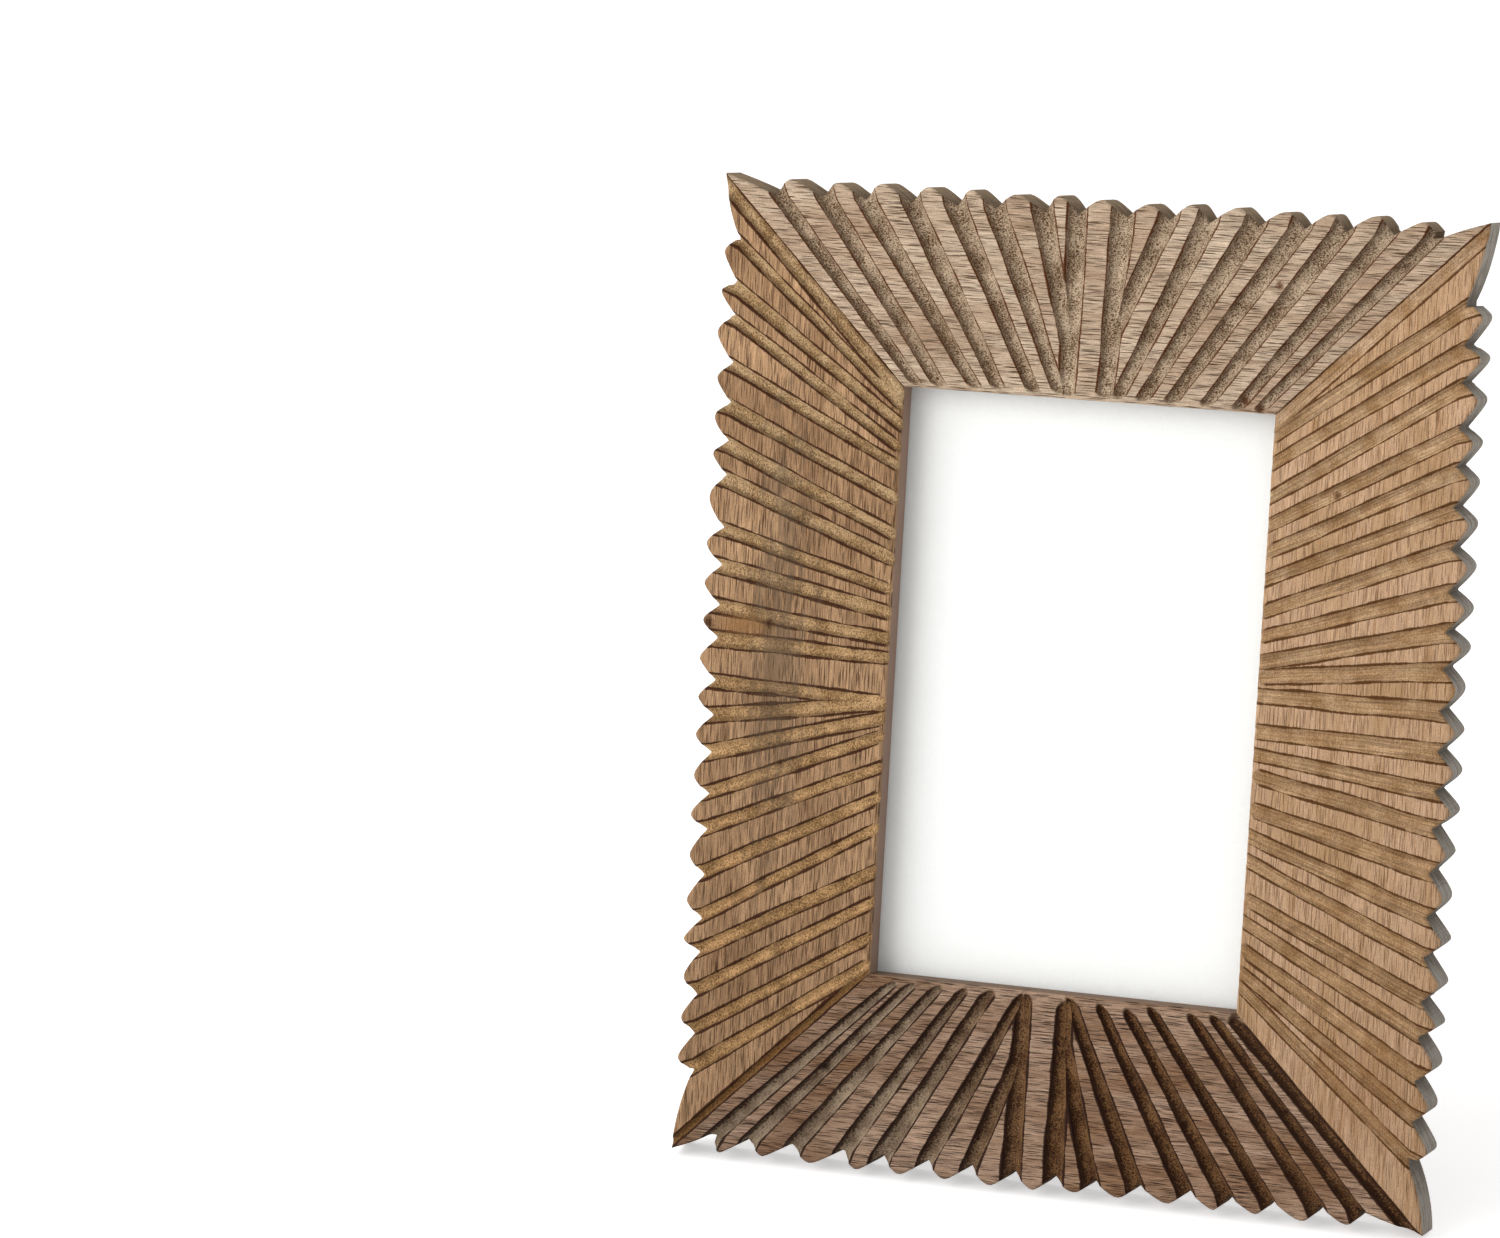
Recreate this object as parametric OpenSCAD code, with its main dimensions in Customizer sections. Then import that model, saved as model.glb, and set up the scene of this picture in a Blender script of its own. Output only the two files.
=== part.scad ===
// Hand-carved wooden picture frame, standing on the easel leg behind it.
// Four mitred rails carry gouge-cut flutes that fan out from the sight edge
// and end in a saw-toothed outer edge. The frame faces -Y and leans back.

/* [Print and sight] */
// Width of the print that the frame holds
print_w = 101.6; // [80:0.2:130]
// Height of the print
print_h = 152.4; // [130:0.2:180]
// How far each side rail covers the print
cover_side = 2.8; // [1:0.1:3.2]
// How far the top and bottom rails cover the print
cover_end = 1.45; // [1:0.05:3.2]

/* [Rails] */
// Width of a rail, from the sight edge to the line through the tooth tips
rail_w = 50.5; // [44:0.5:60]
// Width of the lip in front of the glass
lip_w = 3.5; // [3.3:0.1:6]
// Thickness of the lip, which is the depth of the plain sight edge
lip_t = 7.2; // [6:0.1:10]

/* [Carving] */
// Teeth to each side of the middle tooth, top and bottom rails
teeth_end = 7; // [5:1:8]
// Teeth to each side of the middle tooth, side rails
teeth_side = 10; // [7:1:11]
// Length of a corner horn along the top and bottom rails
horn_end = 12.3; // [9:0.1:15]
// Length of a corner horn along the side rails
horn_side = 18.1; // [14:0.1:22]
// Height of a tooth, from valley to tip
tooth_h = 4.6; // [3:0.1:6]
// Rounding of a tooth's tip, as a share of half its width
tip_round = 0.15; // [0.05:0.05:0.4]
// How far the middle tooth of the top rail stands off its middle
shift_top = 1; // [-1.5:0.1:1.5]
// The same for the bottom rail
shift_bottom = 0.5; // [-1.5:0.1:1.5]
// The same for the right rail
shift_right = -0.8; // [-1.5:0.1:1.5]
// Width of a flute at the outer edge, top and bottom rails
flute_w_end = 6; // [4.6:0.1:6.4]
// Width of a flute at the outer edge, side rails
flute_w_side = 5; // [3.8:0.1:5.4]
// Width of a flute at the sight edge, top and bottom rails
flute_inner_w_end = 3.6; // [2.4:0.1:4]
// Width of a flute at the sight edge, side rails
flute_inner_w_side = 3.4; // [2.4:0.1:3.6]
// Depth of a flute at the outer edge, top and bottom rails
flute_d_end = 2.1; // [1.4:0.1:2.2]
// Depth of a flute at the outer edge, side rails
flute_d_side = 1.8; // [1.4:0.1:1.9]
// How far the outermost flutes start inward of their notch
flute_slide = 1.2; // [0:0.1:1.8]
// Plain band that the top rail's flutes leave along the sight edge
band_top = 1; // [0.6:0.1:3]
// The same for the bottom rail; the side rails' flutes run out through the edge
band_bottom = 1.8; // [0.8:0.1:3]
// Flat left between the last flute and the mitre, along the sight edge
corner_flat = 6; // [5:0.1:8]
// Where flutes aim at the middle of the sight edge, in pitches (top, bottom, left)
gather = 1.5; // [0:0.1:1.9]
// The same for the right rail, whose flutes spread evenly
gather_right = 0; // [0:0.1:1.9]
// Width of the flute that runs along a mitre
mitre_flute_w = 3.3; // [2.4:0.1:4.4]
// Width of the bevel along the tooth tips
bevel_w = 2.4; // [1:0.1:4]
// Depth of the bevel at the tips
bevel_d = 0.5; // [0.3:0.1:1.6]

/* [Glazing and back] */
// Thickness of the glass
glass_t = 2; // [1.6:0.1:3]
// Thickness of the blank paper insert
insert_t = 0.3; // [0.2:0.05:0.6]
// Thickness of the backing board
board_t = 3; // [2.4:0.1:4]
// Clearance round the glass, insert and board in the rebate
rebate_gap = 0.3; // [0.2:0.05:0.6]

/* [Corner nails] */
// Length of one leg of a V nail
nail_leg = 7; // [5:0.5:9]
// Thickness of the nail's steel
nail_t = 0.5; // [0.4:0.1:0.8]
// Depth that the nails are driven from the back
nail_depth = 7; // [5:0.5:8]
// Distances of the two nails from the sight corner, along each rail
nail_inner = 13; // [11:0.5:16]
nail_outer = 30; // [26:0.5:34]

/* [Easel] */
// Backward lean of the standing frame
lean = 10; // [8:0.5:14]
// Angle that the leg opens from the back
leg_open = 19; // [17:0.5:26]
// Height of the hinge above the middle of the frame
hinge_up = 40; // [20:1:50]
// Width of the leg at its foot
leg_foot_w = 46; // [36:1:60]
// Width of the leg at its top
leg_top_w = 32; // [31:0.5:40]
// Thickness of the leg board
leg_t = 3; // [2.4:0.1:4]
// Length of a hinge leaf, from its edge to the pin's axis
leaf_l = 17; // [14:0.5:22]
// Thickness of a hinge leaf
leaf_t = 0.8; // [0.6:0.1:1]
// Diameter of the hinge pin
pin_d = 2; // [1.6:0.1:2.4]
// Wall of a hinge knuckle
knuckle_wall = 0.8; // [0.7:0.1:1]
// Length of each outer knuckle
knuckle_outer = 7; // [5:0.5:7.5]
// Length of the middle knuckle
knuckle_mid = 14; // [10:0.5:16]
// Height of the stop heel above the pin
heel_h = 5; // [4:0.1:6]
// Diameter of a rivet's shank
rivet_d = 2.6; // [2:0.1:3]
// Diameter of a rivet's head
rivet_head_d = 5; // [4.2:0.1:6]
// Height of a rivet's head
rivet_head_h = 0.9; // [0.7:0.1:1.2]
// Distance between the two rivets of a leaf
rivet_span = 17; // [13:0.5:20]

/* [Turn buttons] */
// Height of the buttons above and below the middle of the frame
button_up = 47; // [30:1:58]
// Distance of a button's screw from the rebate
button_inset = 6; // [5:0.5:9]
// Length of a button between its two end centres
button_l = 13; // [11:0.5:16]
// Radius of the end that turns on the screw
button_r = 4.5; // [4:0.1:5]
// Radius of the free end
button_tip_r = 3; // [2.4:0.1:3.6]
// Thickness of a button
button_t = 1.2; // [0.8:0.1:1.6]
// Diameter of the screw's shank
screw_d = 3; // [2.5:0.1:3.5]
// Length of the screw in the wood
screw_l = 8; // [6:0.5:8.5]
// Diameter of the screw's head
screw_head_d = 6.4; // [5.6:0.1:7.4]
// Height of the screw's head
screw_head_h = 1.8; // [1.4:0.1:2.2]

/* [Hidden] */
$fn = 48;

// Clearances
move_gap = 0.3;
pin_clear = 0.05;
leaf_lift = 0.5;
big = 400;

// Sight opening, rebate and outside, across the tooth tips
sight_w = print_w - 2 * cover_side;
sight_h = print_h - 2 * cover_end;
frame_w = sight_w + 2 * rail_w;
frame_h = sight_h + 2 * rail_w;
rebate_w = sight_w + 2 * lip_w;
rebate_h = sight_h + 2 * lip_w;
rebate_d = glass_t + insert_t + board_t;
rail_t = lip_t + rebate_d;
board_y = rail_t - board_t;

// Flutes: the radius of a round gouge cut at the outer edge and at the sight edge, and
// the height of its axis above the face
function gouge_of(w, inner_w, d) =
    let (r = (pow(w / 2, 2) + d * d) / (2 * d))
    [r, norm([inner_w / 2, r - d]), r - d];
gouge_end = gouge_of(flute_w_end, flute_inner_w_end, flute_d_end);
gouge_side = gouge_of(flute_w_side, flute_inner_w_side, flute_d_side);
run_out = 6;

// Outline: the points along a tooth's edge, from -1 at its first notch by 0 at its tip,
// and the power that bows a horn's edge out (1 is straight)
tooth_steps = [-1, -0.35, -0.12, 0, 0.12, 0.35];
horn_steps = 4;
bow_end = 1;
bow_side = 1.7;

// Hinge: the pin's axis in the frame, and its height when the frame stands
knuckle_r = pin_d / 2 + knuckle_wall;
axis_y = rail_t + leaf_lift + knuckle_r - 0.1;
leg_in_y = rail_t + leaf_lift + leaf_t;
leg_drop = knuckle_r + 1.5;
plate_w = 2 * knuckle_outer + knuckle_mid + 2 * move_gap;
leaf_w = knuckle_mid;
leaf_plate_w = rivet_span + rivet_head_d + 2;
rivet_up = leaf_l - rivet_head_d / 2 - 1.5;

// Standing pose: the tooth tips' back edges and the leg's foot touch z = 0
lift = frame_h / 2 * cos(lean) + rail_t * sin(lean);
splay = leg_open - lean;
pin_y = axis_y * cos(lean) + hinge_up * sin(lean);
pin_z = lift + hinge_up * cos(lean) - axis_y * sin(lean);
leg_back = leg_in_y + leg_t - axis_y;
foot_y = pin_y + leg_back / cos(splay) + pin_z * tan(splay);
front_y = -(frame_h / 2 - bevel_w) * sin(lean);
shift_y = -(foot_y + front_y) / 2;

// Colours of the plain model
top_wood = "#a58a72";
bottom_wood = "#74563f";
left_wood = "#a98868";
right_wood = "#c19a77";
zinc = "#b8b6b0";
board_brown = "#5a4636";

// Places the upright frame in its standing pose
module standing() {
    translate([0, shift_y, lift]) rotate([-lean, 0, 0]) children();
}

// Opens what hangs on the hinge pin, from flat on the back
module on_leg() {
    standing()
        translate([0, axis_y, hinge_up]) rotate([leg_open, 0, 0])
            translate([0, -axis_y, -hinge_up]) children();
}

// Outline of a rail: u runs along it, v outward from the sight edge

function pitch_of(half, horn, n) = (half + rail_w - horn) / (n + 0.5);

// How a flute that starts at u on the outer edge ends at the sight edge
function flute_end(u, half, pitch, n, aim) =
    let (last = pitch * (n + 0.5))
    abs(u) < pitch ? u * 0.88
    : sign(u) * (half - corner_flat) * (abs(u) - aim * pitch) / (last - aim * pitch);

// Sideways lean of a tooth, along the flutes beside it
function tooth_lean(u, half, pitch, n, aim) =
    u == 0 ? 0 : (u - flute_end(u, half, pitch, n, aim)) / rail_w * tooth_h / 2;

// How far a tooth's edge lies below its tip: straight flanks, rounded over at the tip
function tooth_dip(s) =
    tooth_h * (norm([s, tip_round]) - tip_round) / (norm([1, tip_round]) - tip_round);

function tooth_points(i, half, pitch, n, aim) = [
    for (s = tooth_steps)
        let (u = i * pitch)
        [
            u + s * pitch / 2 + (1 - abs(s)) * tooth_lean(u, half, pitch, n, aim),
            rail_w - tooth_dip(s)
        ]
];

function horn_points(half, horn, bow) = [
    for (j = [0 : horn_steps])
        let (t = j / horn_steps)
        [half + rail_w - horn * (1 - t), rail_w - tooth_h * pow(1 - t, bow)]
];

function mirrored(points) = [
    for (i = [len(points) - 1 : -1 : 0]) [-points[i][0], points[i][1]]
];

module rail_outline(half, horn, n, aim, shift, bow) {
    pitch = pitch_of(half, horn, n);
    teeth = [for (i = [-n : n], point = tooth_points(i, half, pitch, n, aim)) point + [shift, 0]];
    horn_left = mirrored(horn_points(half, horn + shift, bow));
    horn_right = horn_points(half, horn - shift, bow);
    polygon(concat([[half, 0], [-half, 0]], horn_left, teeth, horn_right));
}

// Round gouge cut from one point of the face to another, its axis lifted off the face
module gouge(from, to, r_from, r_to, lift) {
    run = to - from;
    translate([from[0], -lift, from[1]])
        rotate([0, atan2(run[0], run[1]), 0])
            cylinder(h = norm(run), r1 = r_from, r2 = r_to);
}

// One flute from the notch at u to the plain band, or to where it joins the middle flute
module flute(u, half, pitch, n, aim, shift, band, cut) {
    start = [u + shift - flute_slide * u / (pitch * (n + 0.5)), rail_w - tooth_h];
    end = flute_end(u, half, pitch, n, aim);
    goal = [end + (abs(u) < pitch ? shift : 0), 0];
    run = goal - start;
    middle = pitch * 0.47 + sign(u) * shift;
    band_share = 1 - band / start[1];
    share = abs(u) > pitch && abs(goal[0]) < middle
        ? min(band_share, (abs(start[0]) - middle) / abs(run[0]))
        : band_share;
    out = run_out / norm(run);
    taper = cut[1] - cut[0];
    gouge(start - run * out, start + run * share,
        cut[0] - taper * out, cut[0] + taper * share, cut[2]);
}

// Flute that runs along the mitre at the end that side points to
module mitre_flute(half, side, band, cut) {
    across = mitre_flute_w / 2 / sqrt(2);
    outer_r = norm([mitre_flute_w / 2, cut[2]]);
    from = [side * (half + rail_w - across + 2), rail_w + across + 2];
    to = [side * (half - across + band), across + band];
    gouge(from, to, outer_r, outer_r * cut[1] / cut[0], cut[2]);
}

// One V nail at a distance from the sight corner, its point towards the corner
module v_nail(half, side, distance) {
    translate([side * (half + distance), rail_t, distance])
        rotate([90, 0, 0]) linear_extrude(nail_depth)
            for (turn = [-32, 32])
                rotate(90 - side * 45 + turn)
                    translate([-nail_t / 2, -nail_t / 2]) square([nail_leg, nail_t]);
}

module rail_nails(half) {
    for (side = [-1, 1], distance = [nail_inner, nail_outer]) v_nail(half, side, distance);
}

// A rail lying along u, its face at y = 0. mitres lists the ends with a mitre flute.
module rail(half, horn, n, aim, shift, bow, band, cut, mitres) {
    pitch = pitch_of(half, horn, n);
    difference() {
        translate([0, rail_t, 0]) rotate([90, 0, 0])
            linear_extrude(rail_t) rail_outline(half, horn, n, aim, shift, bow);
        translate([-big / 2, lip_t, -1]) cube([big, rail_t, lip_w + 1]);
        translate([-big / 2, 0, rail_w - bevel_w]) rotate([-atan2(bevel_d, bevel_w), 0, 0])
            translate([0, -10, 0]) cube([big, 10, 20]);
        for (side = [-1, 1], i = [0 : n])
            flute(side * (i + 0.5) * pitch, half, pitch, n, aim, shift, band, cut);
        for (side = mitres) mitre_flute(half, side, max(band, 1), cut);
        rail_nails(half);
    }
}

module end_rail(shift, band, mitres) {
    rail(sight_w / 2, horn_end, teeth_end, gather, shift, bow_end, band, gouge_end, mitres);
}

module side_rail(aim, shift, mitres) {
    rail(sight_h / 2, horn_side, teeth_side, aim, shift, bow_side, -lip_w, gouge_side, mitres);
}

module button_places() {
    for (x = [-1, 1], z = [-1, 1])
        translate([x * (rebate_w / 2 + button_inset), rail_t, z * button_up]) children();
}

// A cylinder along +y, standing on y = 0
module post(d, h) {
    rotate([-90, 0, 0]) cylinder(h = h, d = d);
}

// A low dome on y = 0, for rivets and screws
module dome(d, h) {
    r = (pow(d / 2, 2) + h * h) / (2 * h);
    intersection() {
        translate([0, h - r, 0]) sphere(r);
        post(d, h);
    }
}

module side_screw_holes() {
    button_places() translate([0, -screw_l, 0]) post(screw_d, screw_l + 1);
}

module top_rail() {
    color(top_wood) standing() translate([0, 0, sight_h / 2]) end_rail(shift_top, band_top, []);
}

module bottom_rail() {
    color(bottom_wood) standing()
        translate([0, 0, -sight_h / 2]) rotate([0, 180, 0]) end_rail(shift_bottom, band_bottom, [-1]);
}

module left_rail() {
    color(left_wood) standing() difference() {
        translate([-sight_w / 2, 0, 0]) rotate([0, -90, 0]) side_rail(gather, 0, [-1, 1]);
        side_screw_holes();
    }
}

module right_rail() {
    color(right_wood) standing() difference() {
        translate([sight_w / 2, 0, 0]) rotate([0, 90, 0]) side_rail(gather_right, shift_right, [-1]);
        side_screw_holes();
    }
}

module corner_v_nails() {
    color(zinc) standing() {
        translate([0, 0, sight_h / 2]) rail_nails(sight_w / 2);
        translate([0, 0, -sight_h / 2]) rotate([0, 180, 0]) rail_nails(sight_w / 2);
    }
}

// A sheet that fills the rebate, less its clearance
module rebate_sheet(y, t) {
    w = rebate_w - 2 * rebate_gap;
    h = rebate_h - 2 * rebate_gap;
    translate([-w / 2, y, -h / 2]) cube([w, t, h]);
}

module glass_pane() {
    color("#cfe0dc", 0.4) standing() rebate_sheet(lip_t, glass_t);
}

module picture_insert() {
    color("#f4f3ef") standing()
        translate([-print_w / 2, lip_t + glass_t, -print_h / 2]) cube([print_w, insert_t, print_h]);
}

module plate_rivet_places() {
    for (x = [-1, 1]) translate([x * rivet_span / 2, 0, hinge_up + rivet_up]) children();
}

module leaf_rivet_places() {
    for (x = [-1, 1]) translate([x * rivet_span / 2, 0, hinge_up - rivet_up]) children();
}

module backing_board() {
    color(board_brown) standing() difference() {
        rebate_sheet(board_y, board_t);
        plate_rivet_places() translate([0, board_y - 1, 0]) post(rivet_d, board_t + 2);
    }
}

// Knuckle from x = 0, with its leaf's root below the pin
module knuckle(length, bore) {
    difference() {
        union() {
            translate([0, axis_y, hinge_up]) rotate([0, 90, 0]) cylinder(h = length, r = knuckle_r);
            children();
        }
        translate([-1, axis_y, hinge_up]) rotate([0, 90, 0]) cylinder(h = length + 2, d = bore);
    }
}

// Fixed half of the hinge, riveted to the backing board
module hinge_plate() {
    root = knuckle_r * 0.4;
    color(zinc) standing() difference() {
        union() {
            translate([-plate_w / 2, rail_t, hinge_up + knuckle_r + move_gap])
                cube([plate_w, leaf_t, leaf_l - knuckle_r - move_gap]);
            for (x = [-plate_w / 2, plate_w / 2 - knuckle_outer])
                translate([x, 0, 0]) knuckle(knuckle_outer, pin_d)
                    translate([0, rail_t, hinge_up])
                        cube([knuckle_outer, axis_y - rail_t - root, knuckle_r + move_gap + 0.5]);
        }
        plate_rivet_places() translate([0, rail_t - 1, 0]) post(rivet_d, leaf_t + 2);
        for (x = [-plate_w / 2 - 1, plate_w / 2 - knuckle_outer - 1])
            translate([x, axis_y, hinge_up]) rotate([0, 90, 0])
                cylinder(h = knuckle_outer + 2, d = pin_d);
    }
}

// Moving half of the hinge, riveted to the leg. Its heel meets the plate when the leg is open.
module hinge_leaf() {
    heel_y = leaf_t + move_gap;
    color(zinc) {
        on_leg() difference() {
            union() {
                translate([-leaf_w / 2, 0, 0]) knuckle(leaf_w, pin_d + 2 * pin_clear)
                    translate([0, leg_in_y - leaf_t, hinge_up - leg_drop - 0.5])
                        cube([leaf_w, leaf_t, leg_drop + 0.5]);
                translate([-leaf_plate_w / 2, leg_in_y - leaf_t, hinge_up - leaf_l])
                    cube([leaf_plate_w, leaf_t, leaf_l - leg_drop]);
            }
            leaf_rivet_places() translate([0, leg_in_y - leaf_t - 1, 0]) post(rivet_d, leaf_t + 2);
            translate([-leaf_w / 2 - 1, axis_y, hinge_up]) rotate([0, 90, 0])
                cylinder(h = leaf_w + 2, d = pin_d + 2 * pin_clear);
        }
        standing() difference() {
            translate([-leaf_w / 2, rail_t + heel_y, hinge_up])
                cube([leaf_w, leaf_t, heel_h]);
            translate([-leaf_w / 2 - 1, axis_y, hinge_up]) rotate([0, 90, 0])
                cylinder(h = leaf_w + 2, r = pin_d / 2 + knuckle_wall / 2);
        }
    }
}

module hinge_pin() {
    color(zinc) standing()
        translate([-plate_w / 2, axis_y, hinge_up]) rotate([0, 90, 0]) cylinder(h = plate_w, d = pin_d);
}

module hinge_plate_rivets() {
    color(zinc) standing() plate_rivet_places() {
        translate([0, board_y, 0]) post(rivet_d, board_t + leaf_t);
        translate([0, rail_t + leaf_t, 0]) dome(rivet_head_d, rivet_head_h);
    }
}

module hinge_leaf_rivets() {
    color(zinc) on_leg() leaf_rivet_places() {
        translate([0, leg_in_y - leaf_t, 0]) post(rivet_d, leg_t + leaf_t);
        translate([0, leg_in_y + leg_t, 0]) dome(rivet_head_d, rivet_head_h);
    }
}

// Tapered board, sawn level at the foot so that it stands flat
module easel_leg() {
    blank_l = pin_z / cos(splay) + 12;
    color(board_brown) difference() {
        on_leg() difference() {
            translate([0, leg_in_y + leg_t, hinge_up - leg_drop]) rotate([90, 0, 0])
                linear_extrude(leg_t)
                    polygon([
                        [-leg_top_w / 2, 0], [leg_top_w / 2, 0],
                        [leg_foot_w / 2, -blank_l], [-leg_foot_w / 2, -blank_l]
                    ]);
            leaf_rivet_places() translate([0, leg_in_y - 1, 0]) post(rivet_d, leg_t + 2);
        }
        translate([-big / 2, -big / 2, -big]) cube([big, big, big]);
    }
}

function arc(centre, r, from, to, steps) = [
    for (i = [0 : steps])
        let (a = from + (to - from) * i / steps) centre + r * [cos(a), sin(a)]
];

// Flat steel button with two round ends, its screw hole at the origin
module turn_button() {
    touch = acos((button_r - button_tip_r) / button_l);
    translate([0, move_gap + button_t, 0]) rotate([90, 0, 0]) linear_extrude(button_t)
        difference() {
            polygon(concat(
                arc([0, 0], button_r, touch, 360 - touch, 20),
                arc([button_l, 0], button_tip_r, -touch, touch, 12)
            ));
            circle(d = screw_d + 2 * pin_clear);
        }
}

// A button at its corner of the board, with its free end over the board
module placed_button(x, z) {
    color(zinc) standing()
        translate([x * (rebate_w / 2 + button_inset), rail_t, z * button_up])
            rotate([0, x > 0 ? 180 : 0, 0]) turn_button();
}

module turn_button_upper_left() { placed_button(-1, 1); }
module turn_button_lower_left() { placed_button(-1, -1); }
module turn_button_upper_right() { placed_button(1, 1); }
module turn_button_lower_right() { placed_button(1, -1); }

module turn_button_screws() {
    head_y = button_t + 2 * move_gap;
    color(zinc) standing() button_places() {
        translate([0, -screw_l, 0]) post(screw_d, screw_l + head_y);
        translate([0, head_y, 0]) dome(screw_head_d, screw_head_h);
    }
}

top_rail();
bottom_rail();
left_rail();
right_rail();
corner_v_nails();
glass_pane();
picture_insert();
backing_board();
easel_leg();
hinge_plate();
hinge_leaf();
hinge_pin();
hinge_plate_rivets();
hinge_leaf_rivets();
turn_button_upper_left();
turn_button_lower_left();
turn_button_upper_right();
turn_button_lower_right();
turn_button_screws();
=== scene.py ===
import functools
import math

import bmesh
import bpy
from mathutils import Matrix, Vector


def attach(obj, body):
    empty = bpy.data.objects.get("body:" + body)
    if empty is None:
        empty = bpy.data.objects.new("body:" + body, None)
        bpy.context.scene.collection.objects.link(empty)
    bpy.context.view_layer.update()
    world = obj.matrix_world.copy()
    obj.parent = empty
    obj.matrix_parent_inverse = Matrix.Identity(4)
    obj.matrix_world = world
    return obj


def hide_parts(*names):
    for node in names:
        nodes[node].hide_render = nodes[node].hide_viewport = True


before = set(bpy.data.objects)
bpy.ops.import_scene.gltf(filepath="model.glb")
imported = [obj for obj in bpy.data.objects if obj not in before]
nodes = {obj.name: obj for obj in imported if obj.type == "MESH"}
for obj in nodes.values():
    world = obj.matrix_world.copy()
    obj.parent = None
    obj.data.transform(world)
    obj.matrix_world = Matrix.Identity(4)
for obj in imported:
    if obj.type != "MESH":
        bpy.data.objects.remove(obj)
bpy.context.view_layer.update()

mm = 0.001

noiseSpan = (0.3, 0.7)  # nearly all values of a noise lie between these
noiseMiddle = (0.35, 0.65)  # and most between these

# How the frame stands: leaning back, its lowest tooth tips on the table (metres)
standing = {
    "lean": math.radians(10),
    "shiftBack": -13.9655 * mm,
    "lift": 125.518 * mm,
}
standingPlace = (
    Matrix.Translation((0, standing["shiftBack"], standing["lift"]))
    @ Matrix.Rotation(-standing["lean"], 4, "X")
)


def linearColour(hexColour):
    parts = [int(hexColour[i:i + 2], 16) / 255 for i in (1, 3, 5)]
    return [c / 12.92 if c <= 0.04045 else ((c + 0.055) / 1.055) ** 2.4 for c in parts] + [1]


# Fills a node's live inputs, in order or by name, with values, sockets, or nodes. A node stands
# for its first live output.
def connect(node, sources):
    tree = node.id_data
    live = [socket for socket in node.inputs if socket.enabled]
    names = [socket.name for socket in live]
    pairs = sources.items() if isinstance(sources, dict) else enumerate(sources)
    for place, source in pairs:
        socket = live[names.index(place) if isinstance(place, str) else place]
        if isinstance(source, bpy.types.Node):
            source = next(output for output in source.outputs if output.enabled)
        if isinstance(source, bpy.types.NodeSocket):
            tree.links.new(source, socket)
        else:
            socket.default_value = source


def addNode(tree, kind, sources=(), **settings):
    node = tree.nodes.new(kind)
    for name, value in settings.items():
        setattr(node, name, value)
    connect(node, sources)
    return node


# A new geometry tree, with the function that adds to it, its given values and its result
def newTree(name, inputs, outputs):
    tree = bpy.data.node_groups.new(name, "GeometryNodeTree")
    for socket, value in inputs.items():
        kind = {"M": "NodeSocketMaterial", "G": "NodeSocketGeometry"}.get(value, "NodeSocketFloat")
        made = tree.interface.new_socket(socket, in_out="INPUT", socket_type=kind)
        if kind == "NodeSocketFloat":
            made.default_value = value
    for socket in outputs:
        kind = "NodeSocketGeometry" if socket == "Geometry" else "NodeSocketFloat"
        tree.interface.new_socket(socket, in_out="OUTPUT", socket_type=kind)
    given = tree.nodes.new("NodeGroupInput").outputs
    return tree, functools.partial(addNode, tree), given, tree.nodes.new("NodeGroupOutput")


# Runs a tree on an object that holds only points, and keeps the result as a plain mesh
def meshFromTree(name, tree, values, points=()):
    holderMesh = bpy.data.meshes.new(name + "Holder")
    holderMesh.from_pydata(points, [], [])
    holder = bpy.data.objects.new(name + "Holder", holderMesh)
    bpy.context.scene.collection.objects.link(holder)
    modifier = holder.modifiers.new("nodes", "NODES")
    modifier.node_group = tree
    for item in tree.interface.items_tree:
        if item.item_type == "SOCKET" and item.in_out == "INPUT" and item.name in values:
            modifier[item.identifier] = values[item.name]
    bpy.context.view_layer.update()
    evaluated = holder.evaluated_get(bpy.context.evaluated_depsgraph_get())
    mesh = bpy.data.meshes.new_from_object(evaluated)
    mesh.name = name
    bpy.data.objects.remove(holder)
    return mesh


# Carved rails. Sizes in metres; each flute, tooth and horn follows from these.
railSizes = {
    "Half Sight": 48 * mm,
    "Rail Width": 50.5 * mm,
    "Rail Thickness": 12.5 * mm,
    "Lip Width": 3.5 * mm,
    "Lip Thickness": 7.2 * mm,
    "Teeth Each Side": 7,
    "Horn Bow": 1.0,
    "Tooth Height": 4.6 * mm,
    "Flute Width": 5.2 * mm,
    "Flute Inner Width": 3.4 * mm,
    "Flute Depth": 2.0 * mm,
    "Floor Flatness": 2.2,
    "Inner Depth": 0.6,
    "Plain Band": 1.0 * mm,
    "Band Stray": 0.5 * mm,
    "Stop Length": 1.2 * mm,
    "Spoon": 1.8 * mm,
    "Notch Slide": 1.4 * mm,
    "Mark Low": 3 * mm,
    "Mark High": 42 * mm,
    "Start Reach": 0.5 * mm,
    "End Reach": 0.5 * mm,
    "Bevel Width": 2.4 * mm,
    "Bevel Depth": 0.35 * mm,
    "Waver": 0.35 * mm,
    "Seed": 1,
    "Columns": 26,
    "Face Rows": 96,
}

# Rows of the fold after the face, as it comes back round to it
foldRows = {"downWall": 8, "alongBack": 1, "upRebate": 1, "underLip": 1, "upSight": 6}

mitreFlute = 5.1 * mm  # reach of a mitre flute from the mitre, measured along the rail
markSizes = ("Teeth Each Side", "Mark Low", "Mark High", "Waver", "Seed")

# Random draws of the flutes and teeth: where the numbers of each kind start, the least and the most
draws = {
    "width": (401, 0.9, 1.1),  # a flute's width, times its rail's
    "notch": (701, -0.4 * mm, 0.4 * mm),  # how far beside its flute's middle a notch is sawn
    "stop": (901, -1.0, 1.0),  # where a flute stops, times the band's stray
    "drop": (700, 0.1 * mm, 0.9 * mm),  # how far below the rail's edge a tooth's tip lies
    "tone": (700, 0.0, 1.0),  # a tooth's tone goes with its drop
    "tip": (950, 0.1, 0.36),  # how round a tooth's tip is
    "bevel": (1200, 1.0, 2.4),  # how steep its bevel is, times the rail's
}


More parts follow.
